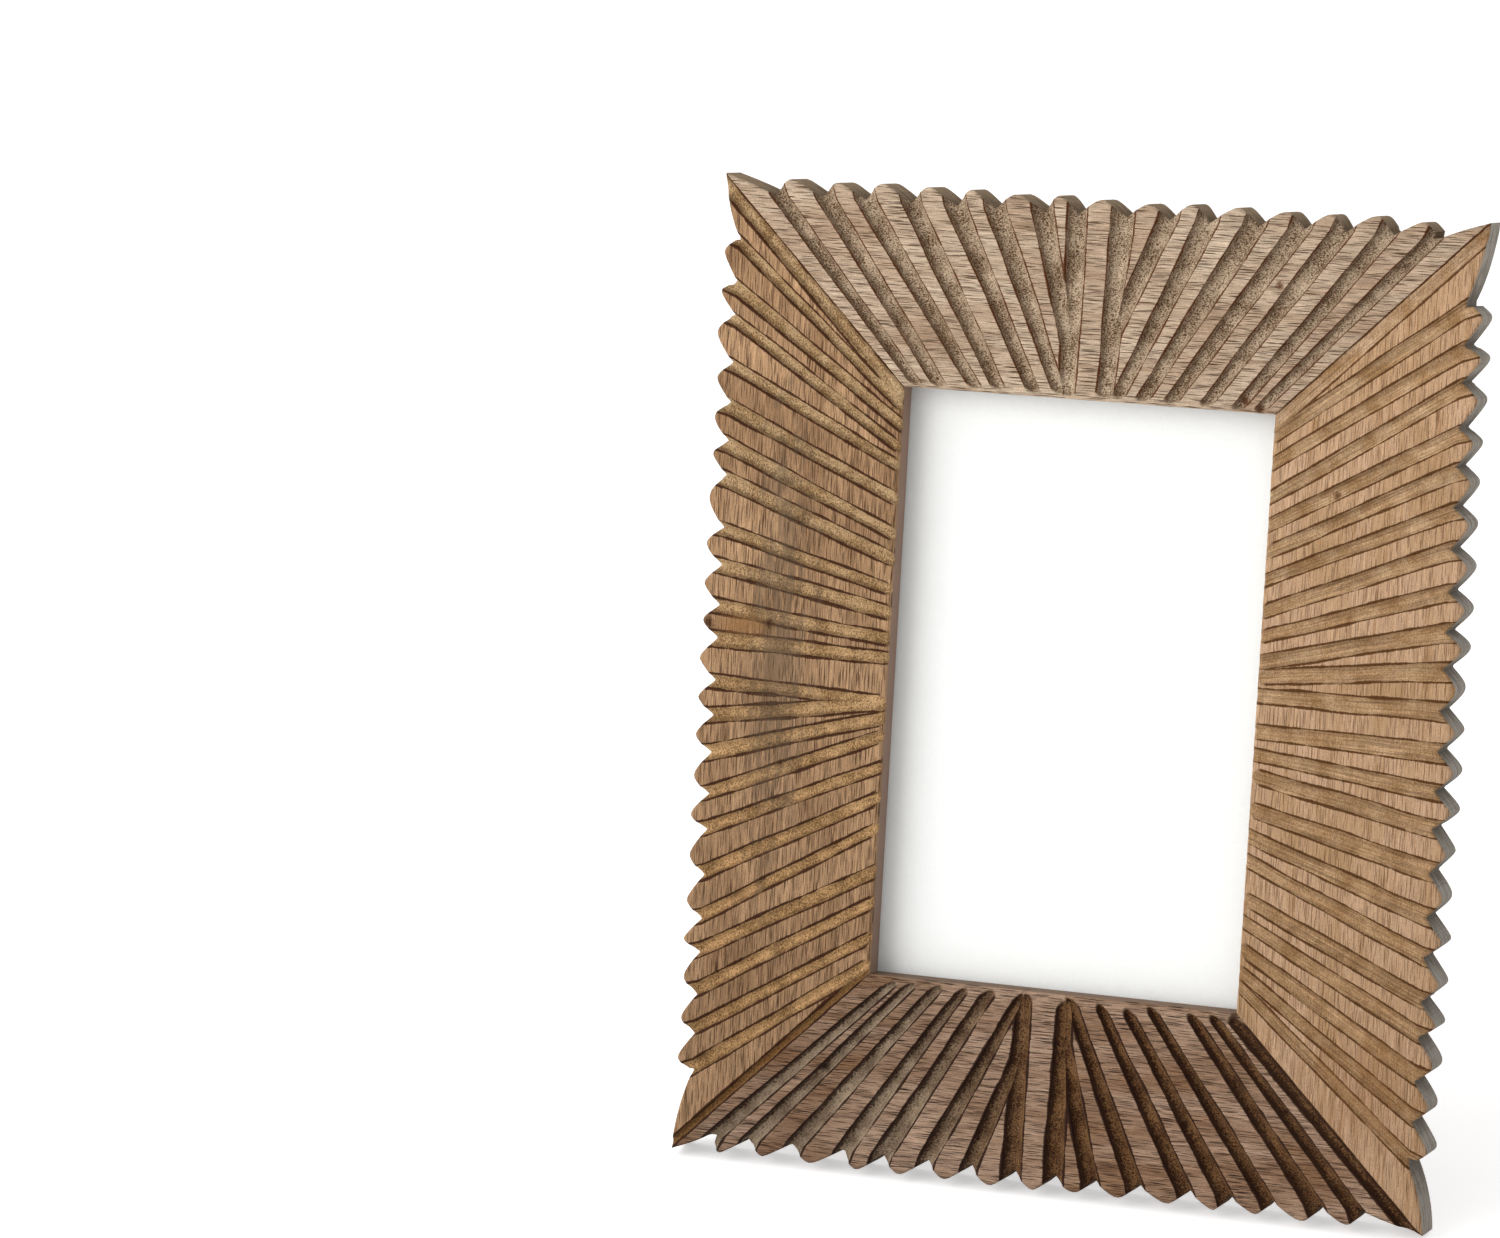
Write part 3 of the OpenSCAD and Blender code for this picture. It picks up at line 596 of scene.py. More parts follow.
# Mango wood, gouged by hand, wire brushed and stained: pale planed lands full of fine open
# pores, stippled flute floors, a hair of dark wood torn along each cut, grey dusty sawn edges.
# Colours are named for what they paint. The torn setting says which wall of each flute is darker and by how
# much: painted shade on the wall turned away from the key light, partly torn end grain that took up more
# stain. The speck colour paints both the specks and that wall.
woodLooks = {
    "top_rail": {
        "land": "#c3ad95", "landDark": "#aa8f76", "streak": "#83664c", "pore": "#3d240e",
        "flute": "#c2ab90", "fluteEnd": "#c2ab90", "fluteDark": "#96795a",
        "speckAndWallShade": "#4c2f15", "specks": 0.6, "specksEnd": 0.6,
        "mitreFloor": "#b8a289", "patchy": 0.45, "brushed": 1.0,
        "line": "#562b0e", "wall": "#a0896c", "wallDark": "#705b43", "sight": "#a08876",
        "tornAndShaded": -0.5, "tear": 0.4, "fluteGrain": 0.3, "flutePlaces": (-60, 60),
        "paintedFalloff": (1.0, 1.0), "poreShown": 0.95,
        "stain": "#7d6248", "stainPlace": (-40, 12), "stainSize": (26, 10), "stainMost": 0.45,
        "marks": [
            (40, 2.8, 1.6, 1.6, "line", 0.85), (44.2, 0.8, 1.5, 1.5, "line", 0.85),
            (47, 32, 1.3, 1.3, "line", 0.85), (-16.3, 47.5, 0.9, 0.9, "line", 0.85),
        ],
    },
    "bottom_rail": {
        "land": "#ac8f78", "landDark": "#836146", "streak": "#54341f", "pore": "#220f05",
        "flute": "#845f3c", "fluteEnd": "#b59f85", "fluteDark": "#593719",
        "speckAndWallShade": "#2c1204", "specks": 0.6, "specksEnd": 0.35,
        "mitreFloor": "#80603f", "patchy": 0.5, "brushed": 1.1,
        "line": "#280f03", "wall": "#8a705a", "wallDark": "#634e3b", "sight": "#8a7260",
        "tornAndShaded": 0.85, "tear": 0.6, "fluteGrain": 0.6, "flutePlaces": (5, 40),
        "paintedFalloff": (1.04, 0.7), "poreShown": 1.0,
        "stain": "#503a29", "stainPlace": (-70, 20), "stainSize": (50, 60), "stainMost": 0.35,
        "marks": [
            (58.5, 25, 1.6, 1.6, "line", 0.85), (-36.5, 29.5, 1.3, 1.3, "line", 0.85),
            (-62, 23.5, 1.2, 1.2, "line", 0.85), (-47.5, 0.8, 1.5, 1.5, "line", 0.85),
        ],
    },
    "left_rail": {
        "chip": "#8a6238", "land": "#b08c69", "landDark": "#8e6d4e", "streak": "#5f4229", "pore": "#351b08",
        "flute": "#d2a673", "fluteEnd": "#bb9d76", "fluteDark": "#a07b4c",
        "speckAndWallShade": "#4b2f14", "specks": 0.45, "specksEnd": 0.45,
        "mitreFloor": "#7d5630", "patchy": 0.6, "brushed": 1.0,
        "line": "#3b1c07", "wall": "#b08f70", "wallDark": "#8a6d52", "sight": "#957d70",
        "tornAndShaded": -0.45, "tear": 0.62, "fluteGrain": 0.5, "flutePlaces": (-50, 50),
        "paintedFalloff": (0.8, 1.08), "poreShown": 0.9,
        "stain": "#5a4a3a", "stainPlace": (5, 29), "stainSize": (80, 12), "stainMost": 0.9,
        "marks": [
            (11, 39, 3.2, 8.5, "chip", 0.7), (11, 48.5, 2.2, 2.2, "line", 0.85),
            (12, 32, 1.6, 1.1, "line", 0.85), (-23, 27, 0.9, 0.9, "line", 0.85),
        ],
    },
    "right_rail": {
        "land": "#be9b7c", "landDark": "#ab8864", "streak": "#90693f", "pore": "#5a3719",
        "flute": "#ba9a77", "fluteEnd": "#b8946e", "fluteDark": "#9d7850",
        "speckAndWallShade": "#573718", "specks": 0.25, "specksEnd": 0.25,
        "mitreFloor": "#b8997a", "patchy": 0.9, "brushed": 0.6,
        "line": "#51300f", "wall": "#aba499", "wallDark": "#746b60", "sight": "#a08876",
        "tornAndShaded": -0.25, "tear": 0.52, "fluteGrain": 1.3, "flutePlaces": (-60, 60),
        "paintedFalloff": (1.07, 0.88), "poreShown": 0.62,
        "stain": "#865930", "stainPlace": (90, 32), "stainSize": (24, 22), "stainMost": 0.5,
        "marks": [(-56, 17, 1.2, 1.2, "line", 0.85)],
    },
}


# Multiplies one colour by another, or by a plain number
tinting = {"data_type": "RGBA", "blend_type": "MULTIPLY"}

# Patterns of the wood: the length of a feature in mm along the rail, into the wood and outward,
# how many finer layers it has, and the levels of noise between which it goes from none to full
woodPatterns = {
    "drift": {"size": (50, 9, 9), "detail": 2, "levels": (0.35, 0.68)},
    "growth": {"size": (30, 1.0, 1.0), "detail": 3, "levels": (0.5, 0.7)},
    "fibres": {"size": (7, 0.2, 0.2), "detail": 4, "levels": noiseSpan},
    "patch": {"size": (7, 7, 7), "detail": 3, "levels": (0.36, 0.66)},
    "specks": {"size": (0.45, 0.28, 0.28), "detail": 2, "levels": (0.46, 0.6)},
    "ragged": {"size": (0.7, 0.7, 0.7), "detail": 4, "levels": noiseSpan},
    "stain": {"size": (11, 2, 2), "detail": 4, "levels": noiseSpan},
    "blotch": {"size": (7, 0.8, 7), "detail": 5, "levels": (0.38, 0.62)},
    "grit": {"size": (0.35, 0.25, 0.25), "detail": 2, "levels": noiseSpan},
    "drawn": {"size": (0.35, 14, 1), "detail": 3, "levels": (0.32, 0.68)},  # across a flute, along it
}

# What the four rails share. Places and widths are in mm, the rest are strengths.
woodFinish = {
    "back": railSizes["Rail Thickness"] / mm - 0.15,  # anything deeper is the planed back
    "sightWall": 4,  # anything nearer to the sight edge is its smooth wall
    "valleys": (45.5, 49),  # the outer wall has painted shade in the valleys between the teeth and is painted lighter towards the tips
    "valleyShade": (0.8, -0.15),  # by how much, at the one and at the other
    "mitreFlute": -11,  # a side rail's flute with a lower number runs along the mitre
    "flutesApart": 7,  # how far apart in the noise two flutes lie
    "toneStep": 0.28,
    "backTone": 0.5,  # the back has no teeth, so it keeps one tone
    "growthMost": 0.6,
    "fibres": (0.48, 0.38),  # how much darker and lighter the brushed fibres are
    "drawn": (0.32, 0.26),  # and the streaks that the gouge drew
    "grit": (0.8, 1.18),
    "pores": ((13, 0.45, 0.15), (20, 0.7, 0.11)),  # a cell's length and width, the pore's share of it
    "poreEdge": (0.8, 1.2),
    "specks": 1.6,  # times each rail's own
    "speckDrift": (0.06, -0.05),
    "wallEdge": 0.6,  # from the flute's middle to where the painted shade and stain on its torn wall are at full strength
    "wallReach": (0.5, 2.1),  # how far from the rim the painted shade and stain of the torn wall end
    "wallSoft": 0.5,
    "rimStray": 0.12,  # how far the rims are ragged
    "rimSoft": 0.08,
    "tearLeast": 0.1,  # half the torn line's width where it is thinnest
    "tearSoft": 0.12,
    "tearMost": 0.95,
    "stain": {"ragged": 3.0, "edge": (1.7, 2.3), "tint": 0.4},
    "mark": {"ragged": 1.4, "edge": (1, 1.8)},
    "sightMost": 0.75,  # how much the sight wall and the back take of their own colours
    "planedMost": 0.35,
    # where the painted darkening along each rail starts and ends, in mm along it
    "paintedFalloffEnds": (-100, 100),
    "roughness": 0.78,
    "gloss": 0.15,
}

# How deep in mm each pattern is cut, at full strength
woodRelief = {"fibres": 0.1, "pores": -0.12, "specks": -0.16, "tear": -0.12, "strength": 0.8}


def newMaterial(name):
    material = bpy.data.materials.new(name)
    material.use_nodes = True
    tree = material.node_tree
    return material, functools.partial(addNode, tree), tree.nodes["Principled BSDF"]


# What the wood's patterns are drawn from: a place in mm along the rail, into the wood and
# outward, the fields that the carving left, and the noises
def woodBasis(add, look):
    grain = add("ShaderNodeAttribute", attribute_name="grain").outputs["Vector"]
    gouge = add("ShaderNodeAttribute", attribute_name="gouge").outputs["Vector"]
    perFlute = (1 / mm, 1 / mm, woodFinish["flutesApart"])
    place = add("ShaderNodeVectorMath", [grain, (1 / mm,) * 3], operation="MULTIPLY")
    inFlute = add("ShaderNodeVectorMath", [gouge, perFlute], operation="MULTIPLY")
    along, into, outward = add("ShaderNodeSeparateXYZ", [place]).outputs
    fluteParts = add("ShaderNodeSeparateXYZ", [inFlute]).outputs
    basis = {
        "colour": {key: linearColour(value) for key, value in look.items() if str(value).startswith("#")},
        "place": place, "along": along, "outward": outward,
        "acrossFlute": fluteParts["X"], "fluteNumber": fluteParts["Z"],
        "onBack": add("ShaderNodeMath", [into, woodFinish["back"]], operation="GREATER_THAN"),
    }
    for field in ("rim", "tone", "going", "outside"):
        basis[field] = add("ShaderNodeAttribute", attribute_name=field).outputs["Fac"]
    onFace = add("ShaderNodeMath", [1, basis["outside"]], operation="SUBTRACT")
    basis["carving"] = add("ShaderNodeMath", [basis["going"], onFace], operation="MULTIPLY")
    for name, pattern in woodPatterns.items():
        source = inFlute if name == "drawn" else place
        inverse = [1 / length for length in pattern["size"]]
        scaled = add("ShaderNodeVectorMath", [source, inverse], operation="MULTIPLY")
        noise = add(
            "ShaderNodeTexNoise",
            {"Vector": scaled, "Scale": 1, "Detail": pattern["detail"], "Roughness": 0.6})
        basis[name] = [noise, *pattern["levels"]]
    rimStray = woodFinish["rimStray"]
    ragged = basis["ragged"][0].outputs["Color"]
    raggedRim = add("ShaderNodeMapRange", [ragged, *noiseSpan, -rimStray, rimStray])
    basis["raggedRim"] = add("ShaderNodeMath", [basis["rim"], raggedRim], operation="ADD")
    return basis


# Open pores: dashes about 4 mm long and 0.15 mm wide
def openPores(add, wood):
    masks = []
    for length, width, reach in woodFinish["pores"]:
        start, end = [reach * share for share in woodFinish["poreEdge"]]
        alongGrain = add("ShaderNodeMath", [wood["along"], length], operation="DIVIDE")
        acrossGrain = add("ShaderNodeMath", [wood["outward"], width], operation="DIVIDE")
        scaled = add("ShaderNodeCombineXYZ", [alongGrain, acrossGrain])
        spots = add("ShaderNodeTexVoronoi", {"Vector": scaled, "Scale": 1.0}, voronoi_dimensions="2D")
        masks.append(add("ShaderNodeMapRange", [spots, start, end, 1, 0]))
    return add("ShaderNodeMath", masks, operation="MAXIMUM")


# Planed and wire brushed land: broad drift, a step in tone from tooth to tooth, growth streaks,
# fine brushed fibres and open pores
def brushedLand(add, look, wood, fibres, pores):
    colour = wood["colour"]
    drift = add("ShaderNodeMapRange", [*wood["drift"], 0, 1])
    tone = add("ShaderNodeMix", [wood["onBack"], wood["tone"], woodFinish["backTone"]])
    toneStep = woodFinish["toneStep"]
    toned = add("ShaderNodeMapRange", [tone, 0, 1, -toneStep, toneStep])
    driftToned = add("ShaderNodeMath", [drift, toned], operation="ADD", use_clamp=True)
    land = add("ShaderNodeMix", [driftToned, colour["land"], colour["landDark"]], data_type="RGBA")
    growth = add("ShaderNodeMapRange", [*wood["growth"], 0, woodFinish["growthMost"]])
    streaked = add("ShaderNodeMix", [growth, land, colour["streak"]], data_type="RGBA")
    brushed = add("ShaderNodeMix", [1, streaked, fibres], **tinting)
    poresShown = add("ShaderNodeMath", [pores, look["poreShown"]], operation="MULTIPLY")
    return add("ShaderNodeMix", [poresShown, brushed, colour["pore"]], data_type="RGBA")


# Torn fibres on the flutes' floors, seen as specks of about 0.3 mm
def fluteSpecks(add, look, wood, alongRail):
    drift = add("ShaderNodeMapRange", [wood["patch"][0], *noiseSpan, *woodFinish["speckDrift"]])
    noise, low, high = wood["specks"]
    level = add("ShaderNodeMath", [noise, drift], operation="SUBTRACT")
    strengths = [look[end] * woodFinish["specks"] for end in ("specks", "specksEnd")]
    most = add("ShaderNodeMapRange", [alongRail, 0, 1, *strengths])
    return add("ShaderNodeMapRange", [level, low, high, 0, most])


# Gouged floor: its colour changes along the rail, with patches, drawn streaks and specks
def gougedFloor(add, look, wood, alongRail, specks):
    colour = wood["colour"]
    floor = add("ShaderNodeMix", [alongRail, colour["flute"], colour["fluteEnd"]], data_type="RGBA")
    lastNumber = woodFinish["mitreFlute"] * woodFinish["flutesApart"]
    alongMitre = add("ShaderNodeMath", [wood["fluteNumber"], lastNumber], operation="LESS_THAN")
    floor = add("ShaderNodeMix", [alongMitre, floor, colour["mitreFloor"]], data_type="RGBA")
    patches = add("ShaderNodeMapRange", [*wood["patch"], 0, look["patchy"]])
    floor = add("ShaderNodeMix", [patches, floor, colour["fluteDark"]], data_type="RGBA")
    darker, lighter = [strength * look["fluteGrain"] for strength in woodFinish["drawn"]]
    drawn = add("ShaderNodeMapRange", [*wood["drawn"], 1 - darker, 1 + lighter])
    floor = add("ShaderNodeMix", [1, floor, drawn], **tinting)
    return add("ShaderNodeMix", [specks, floor, colour["speckAndWallShade"]], data_type="RGBA")


# One wall of each flute is painted darker: painted shade on the wall turned away from the key light, partly
# torn end grain that took up more stain
def tornWallAndShade(add, look, wood, floor):
    whichWall = math.copysign(1, look["tornAndShaded"])
    side = add("ShaderNodeMath", [wood["acrossFlute"], whichWall], operation="MULTIPLY")
    onWall = add("ShaderNodeMapRange", [side, 0, woodFinish["wallEdge"], 0, abs(look["tornAndShaded"])])
    reach = add("ShaderNodeMapRange", [*wood["ragged"], *woodFinish["wallReach"]])
    intoFlute = add("ShaderNodeMath", [wood["rim"], reach], operation="ADD")
    wall = add("ShaderNodeMapRange", [intoFlute, 0, woodFinish["wallSoft"], 0, 1])
    tornAndShaded = add("ShaderNodeMath", [onWall, wall], operation="MULTIPLY")
    return add("ShaderNodeMix", [tornAndShaded, floor, wood["colour"]["speckAndWallShade"]], data_type="RGBA")


# From 0 on the land to 1 in the flutes, over a ragged rim
def inFlutes(add, wood):
    soft = woodFinish["rimSoft"]
    inside = add("ShaderNodeMapRange", [wood["raggedRim"], -soft, soft, 1, 0])
    return add("ShaderNodeMath", [inside, wood["carving"]], operation="MULTIPLY")


# The dark torn line where the gouge broke the surface
def tearLine(add, look, wood):
    patch = wood["patch"][0].outputs["Color"]
    wide = add(
        "ShaderNodeMapRange", [patch, *noiseMiddle, woodFinish["tearLeast"], look["tear"]])
    rimClose = add("ShaderNodeMath", [wood["raggedRim"]], operation="ABSOLUTE")
    left = add("ShaderNodeMath", [wide, rimClose], operation="SUBTRACT")
    tear = add("ShaderNodeMapRange", [left, 0, woodFinish["tearSoft"], 0, woodFinish["tearMost"]])
    return add("ShaderNodeMath", [tear, wood["carving"]], operation="MULTIPLY")


# Distance from the middle of an upright oval on the face, with 1 on its edge
def ovalDistance(add, wood, centre, size):
    away = add("ShaderNodeVectorMath", [wood["place"], (centre[0], 0, centre[1])], operation="SUBTRACT")
    share = add("ShaderNodeVectorMath", [away, (1 / size[0], 0, 1 / size[1])], operation="MULTIPLY")
    return add("ShaderNodeVectorMath", [share], operation="LENGTH")


# A broad stain that soaked in before the wax, then small knots and burns, and a patch of chipped wood
def stainsAndMarks(add, look, wood, face):
    broad, small = woodFinish["stain"], woodFinish["mark"]
    away = ovalDistance(add, wood, look["stainPlace"], look["stainSize"])
    edge = add("ShaderNodeMath", [wood["stain"][0], broad["ragged"], away], operation="MULTIPLY_ADD")
    stain = add("ShaderNodeMapRange", [edge, *broad["edge"], look["stainMost"], 0])
    tint = add("ShaderNodeMix", [broad["tint"], wood["colour"]["stain"], face], data_type="RGBA")
    face = add("ShaderNodeMix", [stain, face, tint], data_type="RGBA")
    for x, z, wide, high, paint, most in look["marks"]:
        away = ovalDistance(add, wood, (x, z), (wide, high))
        edge = add("ShaderNodeMath", [wood["ragged"][0], small["ragged"], away], operation="MULTIPLY_ADD")
        mark = add("ShaderNodeMapRange", [edge, *small["edge"], most, 0])
        face = add("ShaderNodeMix", [mark, face, wood["colour"][paint]], data_type="RGBA")
    return face


# Sawn outer wall, grey with handling and with painted shade in the valleys between the teeth, the smooth
# sight wall and the planed back
def otherSides(add, wood, land):
    colour = wood["colour"]
    blotch = add("ShaderNodeMapRange", [*wood["blotch"], 0, 1])
    # Painted shade: the outer wall is darker in the valleys between the teeth and lighter towards the tips
    paintedValleyShade = add(
        "ShaderNodeMapRange", [wood["outward"], *woodFinish["valleys"], *woodFinish["valleyShade"]])
    dark = add("ShaderNodeMath", [blotch, paintedValleyShade], operation="ADD", use_clamp=True)
    wall = add("ShaderNodeMix", [dark, colour["wall"], colour["wallDark"]], data_type="RGBA")
    isSight = add("ShaderNodeMath", [wood["outward"], woodFinish["sightWall"]], operation="LESS_THAN")
    sightMost = add("ShaderNodeMath", [isSight, woodFinish["sightMost"]], operation="MULTIPLY")
    sawn = add("ShaderNodeMix", [sightMost, wall, colour["sight"]], data_type="RGBA")
    planed = add("ShaderNodeMix", [woodFinish["planedMost"], land, colour["landDark"]], data_type="RGBA")
    return add("ShaderNodeMix", [wood["onBack"], sawn, planed], data_type="RGBA")


# Relief: each pattern adds its depth in mm
def carvedRelief(add, fibres, pores, specks, tear):
    pored = add("ShaderNodeMath", [pores, woodRelief["pores"]], operation="MULTIPLY")
    brushed = add("ShaderNodeMath", [fibres, woodRelief["fibres"], pored], operation="MULTIPLY_ADD")
    specked = add("ShaderNodeMath", [specks, woodRelief["specks"], brushed], operation="MULTIPLY_ADD")
    relief = add("ShaderNodeMath", [tear, woodRelief["tear"], specked], operation="MULTIPLY_ADD")
    return add("ShaderNodeBump", {"Height": relief, "Distance": 1 * mm, "Strength": woodRelief["strength"]})


def carvedWood(name, look):
    material, add, shader = newMaterial(name)
    wood = woodBasis(add, look)
    darker, lighter = [strength * look["brushed"] for strength in woodFinish["fibres"]]
    fibres = add("ShaderNodeMapRange", [*wood["fibres"], 1 - darker, 1 + lighter])
    pores = openPores(add, wood)
    land = brushedLand(add, look, wood, fibres, pores)
    alongRail = add("ShaderNodeMapRange", [wood["along"], *look["flutePlaces"], 0, 1])
    specks = fluteSpecks(add, look, wood, alongRail)
    floor = gougedFloor(add, look, wood, alongRail, specks)
    flute = tornWallAndShade(add, look, wood, floor)
    inFlute = inFlutes(add, wood)
    tear = tearLine(add, look, wood)
    face = add("ShaderNodeMix", [inFlute, land, flute], data_type="RGBA")
    tornAndShaded = add("ShaderNodeMix", [tear, face, wood["colour"]["line"]], data_type="RGBA")
    marked = stainsAndMarks(add, look, wood, tornAndShaded)
    whole = add("ShaderNodeMix", [wood["outside"], marked, otherSides(add, wood, land)], data_type="RGBA")
    grit = add("ShaderNodeMapRange", [*wood["grit"], *woodFinish["grit"]])
    gritty = add("ShaderNodeMix", [1, whole, grit], **tinting)
    # Painted shade along each rail: the side rails are painted darker towards the floor and lighter towards
    # the top, and the bottom rail is darker towards its left end
    paintedFalloff = add("ShaderNodeMapRange", [wood["along"], *woodFinish["paintedFalloffEnds"], *look["paintedFalloff"]])
    finished = add("ShaderNodeMix", [1, gritty, paintedFalloff], **tinting)
    speckDepth = add("ShaderNodeMath", [specks, inFlute], operation="MULTIPLY")
    bump = carvedRelief(add, fibres, pores, speckDepth, tear)
    connect(
        shader,
        {"Base Color": finished, "Roughness": woodFinish["roughness"],
         "Specular IOR Level": woodFinish["gloss"], "Normal": bump})
    return material


# Each rail, and where its flutes run: their middles in mm from the rail's middle, as seen in the
# photograph near the teeth and near the sight edge, in order from one end of the rail to the other
rails = {
    "top_rail": {
        "turn": 0, "out": 74.75 * mm, "slot": "top_wood",
        "flutes": [
            (-80.5, -46.5), (-68.5, -40), (-58, -30.5), (-46.5, -24), (-35, -15), (-25, -8), (-13.5, -3),
            (-5.5, -5), (6, 4), (16, 0), (26, 8.5), (37.5, 15), (48.5, 22.5), (59, 31.5), (70, 40), (81, 46),
        ],
        "sizes": {
            "Seed": 4, "Plain Band": 0.3 * mm, "Spoon": 0.8 * mm, "Flute Width": 5.6 * mm,
            "Flute Inner Width": 3.4 * mm,
        },
    },
    "bottom_rail": {
        "turn": 180, "out": 74.75 * mm, "slot": "bottom_wood",
        "flutes": [
            (-78, -43.5), (-68, -37.5), (-56, -27.5), (-45.5, -20.5), (-35.5, -13.5), (-23, -6), (-12, -2),
            (-3.5, -3.5), (7.5, 6.5), (17, 2.5), (28, 8.5), (39.5, 17), (49.5, 24), (62, 31), (73.5, 38),
            (83, 43),
        ],
        "sizes": {
            "Start Reach": 4.4 * mm, "Seed": 7, "Plain Band": 0.4 * mm, "Band Stray": 0.8 * mm,
            "Spoon": 1.4 * mm, "Flute Width": 5.2 * mm, "Flute Inner Width": 3.1 * mm,
            "Flute Depth": 2.2 * mm,
        },
    },
    "left_rail": {
        "turn": -90, "out": 48 * mm, "slot": "left_wood",
        "flutes": [
            (-101, -74), (-91, -67), (-81, -58), (-71, -50), (-62, -39), (-51, -31), (-40, -23), (-31, -15),
            (-21, -10), (-12, -6), (-4, -5), (7, 6), (15, 11), (25, 18), (34, 24), (46.5, 32), (55, 38.5),
            (64.5, 47.5), (75, 56), (86, 61), (94, 67), (105, 72),
        ],
        "sizes": {
            "Half Sight": 74.75 * mm, "Teeth Each Side": 10, "Horn Bow": 1.7,
            "Start Reach": 3.0 * mm, "End Reach": mitreFlute, "Seed": 2,
            "Plain Band": -1.6 * mm, "Band Stray": 1.0 * mm, "Inner Depth": 0.5,
            "Flute Width": 4.1 * mm, "Flute Inner Width": 3.5 * mm, "Flute Depth": 1.4 * mm,
        },
    },
    "right_rail": {
        "turn": 90, "out": 48 * mm, "slot": "right_wood",
        "flutes": [
            (-101, -71.5), (-91, -64.5), (-82, -56), (-71, -49), (-62, -42), (-52.5, -35), (-43, -27),
            (-33, -20.5), (-23.5, -14), (-14.5, -10), (-5, -5), (5, 4), (14.5, 10), (23, 15.5), (33.5, 24),
            (44.5, 31), (54, 37.5), (64.5, 47), (73, 53), (83, 60), (93, 66), (103, 70),
        ],
        "sizes": {
            "Half Sight": 74.75 * mm, "Teeth Each Side": 10, "Horn Bow": 1.7,
            "Start Reach": mitreFlute, "Seed": 5,
            "Plain Band": -1.5 * mm, "Band Stray": 1.2 * mm, "Inner Depth": 0.4, "Notch Slide": 1.8 * mm,
            "Flute Width": 4.7 * mm, "Flute Inner Width": 3.6 * mm, "Flute Depth": 1.15 * mm,
        },
    },
}


# Puts a mesh in the scene in place of a node of the CAD
def addPiece(mesh, nodeName, body):
    piece = bpy.data.objects.new(mesh.name, mesh)
    bpy.context.scene.collection.objects.link(piece)
    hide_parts(nodeName)
    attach(piece, body)


lineTree = fluteLineTree(markLineTree())
railTree = carvedRailTree(columnPlaceTree(lineTree), gougeCutTree())
for railName, rail in rails.items():
    mangoWood = carvedWood(railName + "MangoWood", woodLooks[railName])
    marks = [(high * mm, low * mm, 0) for high, low in rail["flutes"]]
    railMesh = meshFromTree(
        railName + "_carved", railTree, {**railSizes, **rail["sizes"], "Material": mangoWood}, marks)
    railMesh.transform(
        standingPlace
        @ Matrix.Rotation(math.radians(rail["turn"]), 4, "Y")
        @ Matrix.Translation((0, 0, rail["out"]))
    )
    addPiece(railMesh, railName, "frame")
    print(railName, "carved,", len(railMesh.polygons), "faces")


# Zinc-plated steel, pressed: bright, bluish, with a faint brushed grain
steelLook = {
    "bright": "#c9cbcb",
    "dull": "#a9aaa6",
    "grain": (6.67 * mm, 0.667 * mm, 0.667 * mm),
    "bloom": 3.85 * mm,
    "roughness": (0.28, 0.46),
    "relief": 0.02 * mm,
}


def zincSteel():
    material, add, shader = newMaterial("zincPlatedSteel")
    bright, dull = [linearColour(steelLook[key]) for key in ("bright", "dull")]
    place = add("ShaderNodeTexCoord").outputs["Object"]
    brushed = add("ShaderNodeVectorMath", [place, steelLook["grain"]], operation="DIVIDE")
    lines = add("ShaderNodeTexNoise", {"Vector": brushed, "Scale": 1.0, "Detail": 3.0})
    bloom = add("ShaderNodeTexNoise", {"Vector": place, "Scale": 1 / steelLook["bloom"], "Detail": 3.0})
    tint = add("ShaderNodeMapRange", [bloom, *noiseMiddle, 0, 1])
    colour = add("ShaderNodeMix", [tint, bright, dull], data_type="RGBA")
    rough = add("ShaderNodeMapRange", [lines, *noiseSpan, *steelLook["roughness"]])
    bump = add("ShaderNodeBump", {"Height": lines, "Distance": steelLook["relief"], "Strength": 0.5})
    connect(shader, {"Base Color": colour, "Metallic": 1, "Roughness": rough, "Normal": bump})
    return material


# Hardboard, hot pressed: dark brown, fibres about a millimetre wide lying every way, a waxy sheen
boardLook = {
    "board": "#6b4d36",
    "cloud": "#553b29",
    "fibre": "#8a6a4c",
    "clouds": 22.2 * mm,
    "fibres": 1.11 * mm,
    "bends": 5.56 * mm,
    "bending": 6 * mm,
    "fibreMost": 0.7,
    "relief": 0.08 * mm,
}


def hardboard():
    material, add, shader = newMaterial("hardboard")
    board, cloud, fibre = [linearColour(boardLook[key]) for key in ("board", "cloud", "fibre")]
    place = add("ShaderNodeTexCoord").outputs["Object"]
    bends = add("ShaderNodeTexNoise", {"Vector": place, "Scale": 1 / boardLook["bends"], "Detail": 2.0})
    bent = add(
        "ShaderNodeVectorMath", [bends.outputs["Color"], (boardLook["bending"],) * 3, place],
        operation="MULTIPLY_ADD")
    fibres = add(
        "ShaderNodeTexNoise",
        {"Vector": bent, "Scale": 1 / boardLook["fibres"], "Detail": 4.0, "Roughness": 0.7})
    clouds = add("ShaderNodeTexNoise", {"Vector": place, "Scale": 1 / boardLook["clouds"], "Detail": 3.0})
    cloudMix = add("ShaderNodeMapRange", [clouds, *noiseMiddle, 0, 1])
    base = add("ShaderNodeMix", [cloudMix, board, cloud], data_type="RGBA")
    fibreMix = add("ShaderNodeMapRange", [fibres, 0.42, 0.66, 0, boardLook["fibreMost"]])
    colour = add("ShaderNodeMix", [fibreMix, base, fibre], data_type="RGBA")
    bump = add("ShaderNodeBump", {"Height": fibres, "Distance": boardLook["relief"], "Strength": 0.5})
    connect(shader, {"Base Color": colour, "Roughness": 0.55, "Normal": bump})
    return material


# Uncoated card: white, matt, with a soft fibrous tooth
cardLook = {"white": "#fdfdfc", "shade": "#f7f7f5", "pulp": 0.714 * mm, "relief": 0.02 * mm}


